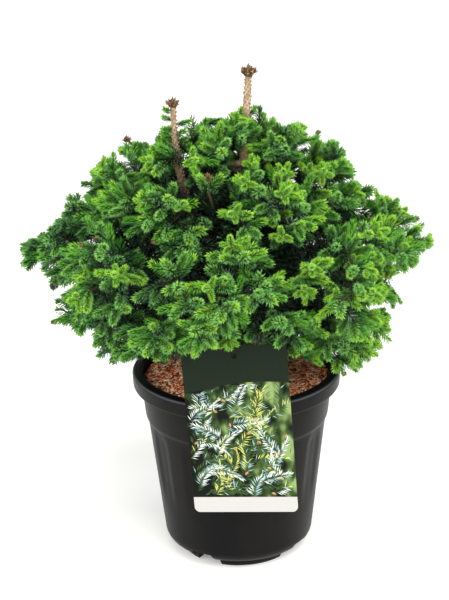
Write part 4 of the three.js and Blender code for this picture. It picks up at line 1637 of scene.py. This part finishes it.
@dataclass
class BareTips:
    """The bud heads of the leaders, the shoots on the second one, and the bare twig ends."""

    foliage: Foliage
    bud_length: float = 9.5
    bud_radius: float = 3.6
    leader_shoots: tuple[tuple[float, float, float, float], ...] = (
        (487, 190, 30, 13), (478, 165, 18, 14), (469, 195, 12, 14), (461, 170, 5, 15), (474, 5, 12, 19),
        (463, -20, 35, 16), (455, 30, 20, 17),
    )
    bare_twigs: tuple[Places, ...] = (
        ((-20, -84, 408), (-24, -88, 424), (-25, -90, 440)),
        ((-78, 40, 412), (-94, 44, 430), (-110, 48, 441)),
        ((31, 20, 420), (40, 10, 450), (45, 5, 462)),
    )
    seed: int = 19

    def build(self) -> None:
        """Adds the bud heads, the bare twigs and the leader's shoots to the foliage."""
        random, foliage, rule = np.random.default_rng(self.seed), self.foliage, self.foliage.rule
        tops = [(rule.trunk_route.at(1), 1.0, 8), (rule.leader_route.at(1), 0.85, 7)]
        for twig in self.bare_twigs:
            points = np.array(twig, float)
            foliage.twigs.add_twig(points, 1.7, 1.3, 6)
            tops.append((points[-1], 0.6, 4))
            foliage.joints += list(points[:-1])
        for top, scale, count in tops:
            for i in range(count):
                turn = i * 2 * pi / (count - 1) + random.uniform(-0.2, 0.2)
                outward, aside = direction_of(turn, 0), i < count - 1
                direction = unit(UP + outward * 0.8 * aside)
                foot = top + (outward * 2.2 - UP * 2.0) * scale * aside
                foliage.buds.add_bud(foot, direction, self.bud_length * scale, self.bud_radius * scale)
        points = rule.leader_route.points
        for height, turn, elevation, length in self.leader_shoots:
            base = points[int(np.argmin(np.abs(points[:, 2] - height)))]
            ages = (Age.LEAF, Age.FRESH, Age.LIME)
            direction = direction_of(turn * DEGREE, elevation * DEGREE)
            foliage.needles.add_shoot(Shoot(base + direction * 2, direction, length - 5, np.zeros(3), YOUNG, ages))


# Pot


@dataclass
class NurseryPot:
    """The pot: rings of a tapering wall with flutes, foot notches and a folded rim."""

    plan: PotPlan
    segments: int = 240
    flute_count: int = 12
    flute_share: float = 0.3
    flute_slope: float = 0.17
    flute_depth: float = 1.5
    flute_top: float = 154
    flute_foot: float = 58
    flute_arch: float = 10
    flute_fades: Pair = (34, 13)
    notch_count: int = 4
    notch_first: float = -31.5 * DEGREE
    notch_height: float = 18.5
    notch_taper: float = 0.74
    notch_width: float = 31 * DEGREE
    notch_overlap: float = 14.5

    def build(self) -> None:
        """Builds the pot."""
        pot = raised_rings(self.segments, [(self.plan.disc_radius, 0.0), *self._profile()])
        self._press_flutes(pot)
        recalculate_normals(pot)
        self._cut_notches(pot)
        smooth_under(pot, 38 * DEGREE)
        dress(pot, PotPlastic().material())
        keep_piece(pot, "pot_body", ["pot"])

    def _profile(self) -> list[Pair]:
        """Returns the pot's section as radius and height, from the underside's disc to the inner floor."""
        p = self.plan
        outer = [(p.disc_radius + 1.5, p.groove_depth), (p.groove_outer - 1.5, p.groove_depth)]
        outer += [(p.groove_outer, 0), (p.foot_radius - 1, 0), (p.foot_radius, 1), p.corner_foot]
        across, rise = p.corner_top[0] - p.corner_foot[0], p.corner_top[1] - p.corner_foot[1]
        for angle in range(10, 90, 10):
            x = p.corner_foot[0] + across * sin(angle * DEGREE)
            outer.append((x, p.corner_top[1] - rise * cos(angle * DEGREE)))
        outer += [p.corner_top, p.body_foot]
        steps = 44
        for i in range(1, steps + 1):
            share = i / steps
            outer.append((lerp(p.body_foot[0], p.body_top[0], share), lerp(p.body_foot[1], p.body_top[1], share)))
        outer += [(95.0, 151.6), (95.9, 153.2), (96.7, 154.8), p.collar_foot, (97.3, 157.5)]
        outer += [(100.2, 184), p.collar_top, (101.0, 187.4), (102.6, 188.1), (106.4, 188.4)]
        outer += [(108.6, 188.9), (109.3, 190.0), (109.5, 191.7), (109.9, 200)]
        for angle in range(0, 91, 15):
            back, below = 1 - cos(angle * DEGREE), 1 - sin(angle * DEGREE)
            outer.append((p.rim_radius - p.lip * back, p.height - p.rim_fall - p.lip * below))
        mouth = p.mouth_radius
        outer += [(104.5, 205.3), (102.2, 205.9), (101.0, 206.0), (100.2, 205.8), (99.7, 205.3), (mouth, 204.4)]
        inner = [(mouth - 0.3, p.height - p.rim_band)]
        inner += [(p.collar_top[0] - p.wall, p.collar_top[1]), (p.body_top[0] - p.wall, p.body_top[1])]
        inner += [(p.corner_top[0] - p.wall, p.corner_top[1]), (p.corner_foot[0] - p.wall, p.floor)]
        return outer + inner

    def _press_flutes(self, pot: Piece) -> None:
        """Presses the arched flutes in between the lands of the outer wall."""
        places = vertices_of(pot) / MM
        x, y, z = places.T
        p, radius = self.plan, np.hypot(x, y)
        rows = [p.body_foot, p.body_top, p.collar_foot]
        body = np.interp(z, [row[1] for row in rows], [row[0] for row in rows])
        outside = (np.abs(radius - body) < 1) & (z > p.body_foot[1]) & (z < p.collar_foot[1] - 1)
        turn = (np.arctan2(y, x) + pi / 2) * self.flute_count / (2 * pi)
        across = np.abs(turn - np.round(turn)) / self.flute_share
        flute = np.clip((1 - across) / self.flute_slope * self.flute_share, 0, 1)
        top = self.flute_top - self.flute_arch * np.minimum(across, 1) ** 2
        under_top = np.clip((top - z) / self.flute_fades[1], 0, 1)
        over_foot = np.clip((z - self.flute_foot) / self.flute_fades[0], 0, 1)
        depth = self.flute_depth * flute * under_top * over_foot
        places[:, :2] *= np.where(outside, (radius - depth) / np.maximum(radius, 1e-6), 1)[:, None]
        set_vertices(pot, places * MM)

    def _cut_notches(self, pot: Piece) -> None:
        """Cuts the shallow notches between the feet."""
        p = self.plan
        cutters = []
        inner, outer = p.groove_outer - self.notch_overlap, p.body_foot[0]
        width = 2 * p.foot_radius * sin(self.notch_width / 2)
        for i in range(self.notch_count):
            place = ((inner + outer) / 2 * MM, 0, 0)
            scale = ((outer - inner) * MM, width * MM, 2 * self.notch_height * MM)
            cutter = started(bpy.ops.mesh.primitive_cube_add, scale, size=1, location=place)
            with editing(cutter, "VERT", lambda vertex: vertex.co.z > 0):
                bpy.ops.transform.resize(value=(1, self.notch_taper, 1), center_override=place)
                bpy.ops.mesh.select_all(action="SELECT")
                bpy.ops.mesh.bevel(offset=1.6 * MM, segments=2)
            cutter.rotation_euler[2] = -pi / 2 + self.notch_first + i * 2 * pi / self.notch_count
            apply_place(cutter)
            cutters.append(cutter)
        make_active(cutters[0])
        for cutter in cutters:
            cutter.select_set(True)
        bpy.ops.object.join()
        cut_out(pot, cutters[0])


# Mulch


@dataclass
class MulchBed:
    """The filling of the pot with bark chips strewn over it."""

    plan: PotPlan
    rings: int = 34
    segments: int = 96
    chips: int = 4000
    seed: int = 5

    def build(self) -> None:
        """Builds the bed and its chips."""
        keep_piece(self._bed(), "mulch_bed", ["mulch"])
        keep_piece(self._chips(), "mulch_chips")

    def _height(self, radius: Array) -> Array:
        """Returns the bed's height at a radius."""
        p = self.plan
        edge = p.mouth_radius - 1
        return np.interp(radius, [0, edge - 14, edge], [p.mulch_middle, p.mulch_middle - 0.8, p.mulch_edge])

    def _bed(self) -> Piece:
        """Extrudes a puck and closes it over the top in rings, then roughens it."""
        edge = self.plan.mouth_radius - 0.8
        rows = [(90.0, 165.0), (95.6, 176.6), (97.1, 184.5), (98.3, 190.0), (edge, self.plan.mulch_edge)]
        for i in range(1, self.rings):
            inward = edge * (1 - i / self.rings)
            rows.append((inward, float(self._height(np.array(inward)))))
        bed = raised_rings(self.segments, rows)
        roughen(bed, 5, 2.4, 0.7, "Z")
        apply_modifiers(bed)
        recalculate_normals(bed)
        dress(bed, MulchBedFinish().material())
        return bed

    def _chips(self) -> Piece:
        """Strews chips of bark, each a small irregular block."""
        random = np.random.default_rng(self.seed)
        count = self.chips
        edge = self.plan.mouth_radius - 3.5
        radius = edge * np.sqrt(random.uniform(0.008, 1, count))
        turn = random.uniform(0, 2 * pi, count)
        height = self._height(radius) + random.uniform(-0.8, 2.0, count)
        middle = np.stack([radius * np.cos(turn), radius * np.sin(turn), height], axis=1)
        long, wide = random.gamma(4.0, 0.5, count) + 0.9, random.uniform(0.45, 1.2, count)
        size = np.stack([np.minimum(long, 4.6), wide, random.uniform(0.2, 0.5, count)], axis=1)
        yaw = random.uniform(0, 2 * pi, count)
        pitch, roll = random.normal(0, 0.35, count), random.normal(0, 0.4, count)
        along = np.stack([np.cos(yaw) * np.cos(pitch), np.sin(yaw) * np.cos(pitch), np.sin(pitch)], axis=1)
        level = np.stack([-np.sin(yaw), np.cos(yaw), np.zeros(count)], axis=1)
        normal = np.cross(along, level)
        across = level * np.cos(roll)[:, None] + normal * np.sin(roll)[:, None]
        over = np.cross(along, across)
        signs = np.array([[x, y, z] for x in (-1, 1) for y in (-1, 1) for z in (-1, 1)], float)
        reach = random.uniform(0.55, 1.0, (count, 8, 3)) * signs * size[:, None, :]
        sides = enumerate((along, across, over))
        corners = middle[:, None, :] + sum(reach[..., i : i + 1] * side[:, None, :] for i, side in sides)
        quads = [(0, 1, 3, 2), (4, 6, 7, 5), (0, 4, 5, 1), (2, 3, 7, 6), (0, 2, 6, 4), (1, 5, 7, 3)]
        faces = [face for a, b, c, d in quads for face in ((a, b, c), (a, c, d))]
        triangles = (np.array(faces)[None] + np.arange(count)[:, None, None] * 8).reshape(-1, 3)
        dealt = np.repeat(random.choice(4, count, p=[0.42, 0.2, 0.3, 0.08]), len(faces))
        materials = [finish.material() for finish in CHIP_FINISHES]
        obj = joined_mesh("mulch_chips", corners.reshape(-1, 3) * MM, triangles, materials, dealt)
        recalculate_normals(obj)
        return obj


# Card


@dataclass
class PlantCard:
    """The card on the rim: a plate with two round corners, a tongue over the rim and its print."""

    plan: CardPlan
    pot: PotPlan
    corner_steps: int = 10
    strokes_per_sprig: int = 44
    seed: int = 31

    def build(self) -> None:
        """Builds the card."""
        plate, tongue, printed = self._plate(), self._tongue(), self._print()
        keep_piece(plate, "card_plate", ["card"])
        keep_piece(tongue, "card_tongue")
        keep_piece(printed, "card_print")

    def _to_place(self, local: Array) -> Array:
        """Returns card coordinates, x across, y back and z up from its middle, as places in metres."""
        turn, place, _ = self.plan.frame(self.pot)
        leaning = np.array([turned(point, FORWARD, -self.plan.roll) for point in local])
        return (leaning @ turn.T + place) * MM

    def _plate(self) -> Piece:
        """Shapes a plane into the plate, with its corners rounded, its hole cut and its thickness."""
        c = self.plan
        add = bpy.ops.mesh.primitive_plane_add
        plate = started(add, (c.width, c.height, 1), size=1, location=(0, 0, 0), rotation=(pi / 2, 0, 0))
        with editing(plate, "VERT", lambda vertex: vertex.co.z < 0):
            bpy.ops.mesh.bevel(offset=c.corner, segments=self.corner_steps, affect="VERTICES")
            bpy.ops.mesh.select_all(action="SELECT")
            bpy.ops.mesh.extrude_region_move(TRANSFORM_OT_translate={"value": (0, -c.thickness, 0)})
        recalculate_normals(plate)
        place = (0, 0, c.height / 2 - c.hole_below_top)
        add = bpy.ops.mesh.primitive_cylinder_add
        punch = started(add, vertices=48, radius=c.hole_radius, depth=6, location=place, rotation=(pi / 2, 0, 0))
        cut_out(plate, punch)
        edge = plate.modifiers.new("edge", "BEVEL")
        edge.width, edge.segments, edge.limit_method = 0.15, 2, "ANGLE"
        apply_modifiers(plate)
        local = vertices_of(plate)
        uv = plate.data.uv_layers.new(name="face")
        for loop in plate.data.loops:
            x, _, z = local[loop.vertex_index]
            uv.data[loop.index].uv = (x / c.width + 0.5, z / c.height + 0.5)
        for layer in [layer for layer in plate.data.uv_layers if layer.name != "face"]:
            plate.data.uv_layers.remove(layer)
        set_vertices(plate, self._to_place(local))
        dress(plate, CardFinish().material())
        return plate

    def _tongue(self) -> Piece:
        """Folds a strip over the rim: out of the card's back, across, and down inside."""
        c = self.plan
        turn, place, slide = c.frame(self.pot)
        over = self.pot.height - c.middle[1] + c.gap
        inside = self.pot.rim_radius - self.pot.mouth_radius + 4 * c.gap
        depth = inside + c.tongue_thickness + c.thickness / 2
        middle = (-slide, inside + c.tongue_thickness - depth / 2, over + c.tongue_thickness / 2)
        scale = (c.tongue_width, depth, c.tongue_thickness)
        strip = started(bpy.ops.mesh.primitive_cube_add, scale, size=1, location=middle)
        with editing(strip, "FACE"):
            bpy.ops.mesh.bisect(plane_co=(0, inside, 0), plane_no=(0, 1, 0))
        with editing(strip, "FACE", lambda face: face.normal.z < -0.9 and face.center.y > inside):
            bpy.ops.mesh.extrude_region_move(TRANSFORM_OT_translate={"value": (0, 0, -c.tongue_drop)})
        recalculate_normals(strip)
        set_vertices(strip, (vertices_of(strip) @ turn.T + place) * MM)
        dress(strip, PlainFinish("tongue_plastic", (0.03, 0.045, 0.033), 0.45).material())
        return strip

    def _print(self) -> Piece:
        """Prints a plain design of bowed sprigs over the picture ground."""
        c = self.plan
        random = np.random.default_rng(self.seed)
        finish = CardFinish()
        low = c.height * (finish.band_top - 0.5) + 1
        rows, ink = [], 0.04

        def top_at(x: float) -> float:
            """Returns the header's edge at a place across the card."""
            bow = sin(finish.header_bow * (x / c.width + 0.5))
            return c.height * (finish.header_foot + finish.header_rise * bow - 0.5) - 1

        def stroke(place: Array, turn: float, length: float, width: float, number: int, layer: int) -> None:
            """Adds one stroke if it stays on the picture ground."""
            end = place + length * np.array([cos(turn), sin(turn)])
            half = c.width / 2 - 1
            if all(abs(x) < half and low < z < top_at(x) for x, z in (place, end)):
                rows.append((*place, turn, length, width, -c.thickness - ink * (0.2 + 0.15 * layer), number))

        def sprig(foot: Array, turn: float, inks: Sequence[int], layer: int) -> None:
            """Adds a bowed frond: strokes that fan out on both sides, shorter and closer to its tip."""
            bow = random.uniform(-0.035, 0.035)
            place, count = foot.copy(), self.strokes_per_sprig
            for i in range(count):
                share = i / count
                turn += bow
                place += 0.85 * np.array([cos(turn), sin(turn)])
                side = 1 if i % 2 else -1
                length = lerp(9.5, 4.5, share) * random.uniform(0.75, 1.2)
                ink_number = int(random.choice(inks)) if random.random() < 0.35 else inks[side > 0]
                away = turn + side * lerp(1.05, 0.3, share) + random.uniform(-0.2, 0.2)
                stroke(place, away, length, random.uniform(0.65, 1.15), ink_number, layer + i % 3)
            if layer and random.random() < 0.5:
                for tilt in (-0.9, -0.5, 0, 0.5, 0.9):
                    stroke(foot, turn + pi + tilt, 3.8, 0.8, 4, layer + 4)

        palettes = [(0, 1, 0), (1, 0, 3), (2, 3, 2), (0, 3, 2), (3, 2, 1)]
        for layer, count in ((0, 50), (4, 36)):
            for i in range(count):
                x = -56 + 104 * ((i * 0.618) % 1)
                place = np.array([x, lerp(low - 8, c.height * 0.24, (i + 0.5) / count)])
                turn = 0.9 + 0.75 * sin(i * 1.7) if i % 4 else 2.5
                inks = (3, 3, 1) if layer == 0 else palettes[i % len(palettes)]
                sprig(place + random.uniform(-3, 3, 2), turn, inks, layer)
        x, z, turn, length, width, y, dealt = np.array(rows).T
        along = np.stack([np.cos(turn), np.zeros_like(turn), np.sin(turn)], axis=1)
        across = np.stack([-np.sin(turn), np.zeros_like(turn), np.cos(turn)], axis=1)
        root = np.stack([x, y, z], axis=1)
        middle, wide = root + along * (length * 0.45)[:, None], across * width[:, None] / 2
        ridge, tip = middle + np.array([0, -ink, 0]), root + along * length[:, None]
        corners = np.stack([root, middle + wide, middle - wide, ridge, tip], axis=1)
        pattern = np.array([[0, 3, 1], [0, 2, 3], [4, 1, 3], [4, 3, 2], [0, 1, 2], [4, 2, 1]])
        triangles = (pattern[None] + np.arange(len(rows))[:, None, None] * 5).reshape(-1, 3)
        places = self._to_place(corners.reshape(-1, 3))
        finishes = [PlainFinish("print_" + name, colour, 0.6, 0.1) for name, colour in PRINT_COLOURS.items()]
        materials = [finish.material() for finish in finishes]
        obj = joined_mesh("card_print", places, triangles, materials, np.repeat(dealt, len(pattern)))
        recalculate_normals(obj)
        return obj


# Studio


@dataclass
class Studio:
    """The pale floor, the soft lamps, the sky and the camera at the photograph's angle."""

    view: View
    focal_pixels: float = 1888.5
    frame_size: tuple[int, int] = (449, 600)
    rim_pixel: Pair = (235.9, 364.2)
    sensor: float = 36.0

    def build(self) -> None:
        """Builds the whole studio."""
        self._camera()
        self._floor()
        self._sky()
        self._lamps()

    def _camera(self) -> None:
        """Puts the camera where the rim's middle falls on its place in the photograph."""
        data = bpy.data.cameras.new("camera")
        data.sensor_width = self.sensor
        data.lens = self.focal_pixels / max(self.frame_size) * self.sensor
        camera = bpy.data.objects.new("camera", data)
        bpy.context.scene.collection.objects.link(camera)
        pixels = zip(self.rim_pixel, self.frame_size)
        aside, below = (atan((at - side / 2) / self.focal_pixels) for at, side in pixels)
        camera.location = (np.array([0, 0, self.view.rim_height]) - self.view.axes()[0] * self.view.distance) * MM
        tilt = Matrix.Rotation(pi / 2 - self.view.pitch + below, 4, "X")
        yaw, spin = Matrix.Rotation(aside, 4, "Z"), Matrix.Rotation(-self.view.roll, 4, "Z")
        camera.rotation_mode = "QUATERNION"
        camera.rotation_quaternion = (yaw @ tilt @ spin).to_quaternion()
        bpy.context.scene.camera = camera

    def _floor(self) -> None:
        """Lays the pale floor."""
        floor = started(bpy.ops.mesh.primitive_plane_add, size=30, location=(0, 0, -0.0003))
        floor.name = "floor"
        dress(floor, PlainFinish("floor_paper", (0.93, 0.93, 0.92), 0.9, 0.1, 0.16).material())

    def _sky(self) -> None:
        """Lights the scene softly from all round."""
        world = bpy.data.worlds.new("sky")
        world.use_nodes = True
        background = world.node_tree.nodes["Background"]
        background.inputs["Color"].default_value = (1, 1, 1, 1)
        background.inputs["Strength"].default_value = 0.36
        bpy.context.scene.world = world
        bpy.context.scene.view_settings.view_transform = "Standard"

    def _lamp(self, data: bpy.types.Light, place: Place, power: float, colour: Colour) -> None:
        """Hangs one lamp and turns it to the crown."""
        data.energy, data.color = power, colour
        lamp = bpy.data.objects.new(data.name, data)
        lamp.location = place
        lamp.rotation_mode = "QUATERNION"
        lamp.rotation_quaternion = (Vector((0, 0, 0.3)) - Vector(place)).to_track_quat("-Z", "Y")
        bpy.context.scene.collection.objects.link(lamp)

    def _lamps(self) -> None:
        """Hangs a broad soft key high over the front, and a panel on each side."""
        key = bpy.data.lights.new("key", "SUN")
        key.angle = 50 * DEGREE
        self._lamp(key, (0.7, -1.6, 2.6), 3.1, (1.0, 0.99, 0.97))
        panels = (("left", (-1.5, -0.3, 0.7), 14), ("right", (1.5, -0.3, 0.7), 14), ("front", (-0.6, -2.0, 1.1), 26))
        for name, place, power in panels:
            panel = bpy.data.lights.new(f"{name}_panel", "AREA")
            panel.size = 0.9
            self._lamp(panel, place, power, (1.0, 0.99, 0.97))


def main() -> None:
    """Builds every sub-assembly in order."""
    logging.basicConfig(level=logging.INFO, format="%(message)s")
    pot, card, view = PotPlan(), CardPlan(), View()
    Studio(view).build()
    NurseryPot(pot).build()
    MulchBed(pot).build()
    PlantCard(card, pot).build()
    trunk = StemPlan(8.6, 2.9, TRUNK_PLACES, 0.85, 5.0)
    rule = GrowthRule(CrownPlan(), trunk, StemPlan(4.4, 2.5, LEADER_PLACES), pot, card)
    LOG.info("%d sprays by the source's rule", len(rule.sprays))
    Limbs(rule).build()
    foliage = Foliage(rule, CrownOutline(view, rule.centre))
    BareTips(foliage).build()
    foliage.build()


if __name__ == "__main__":
    main()
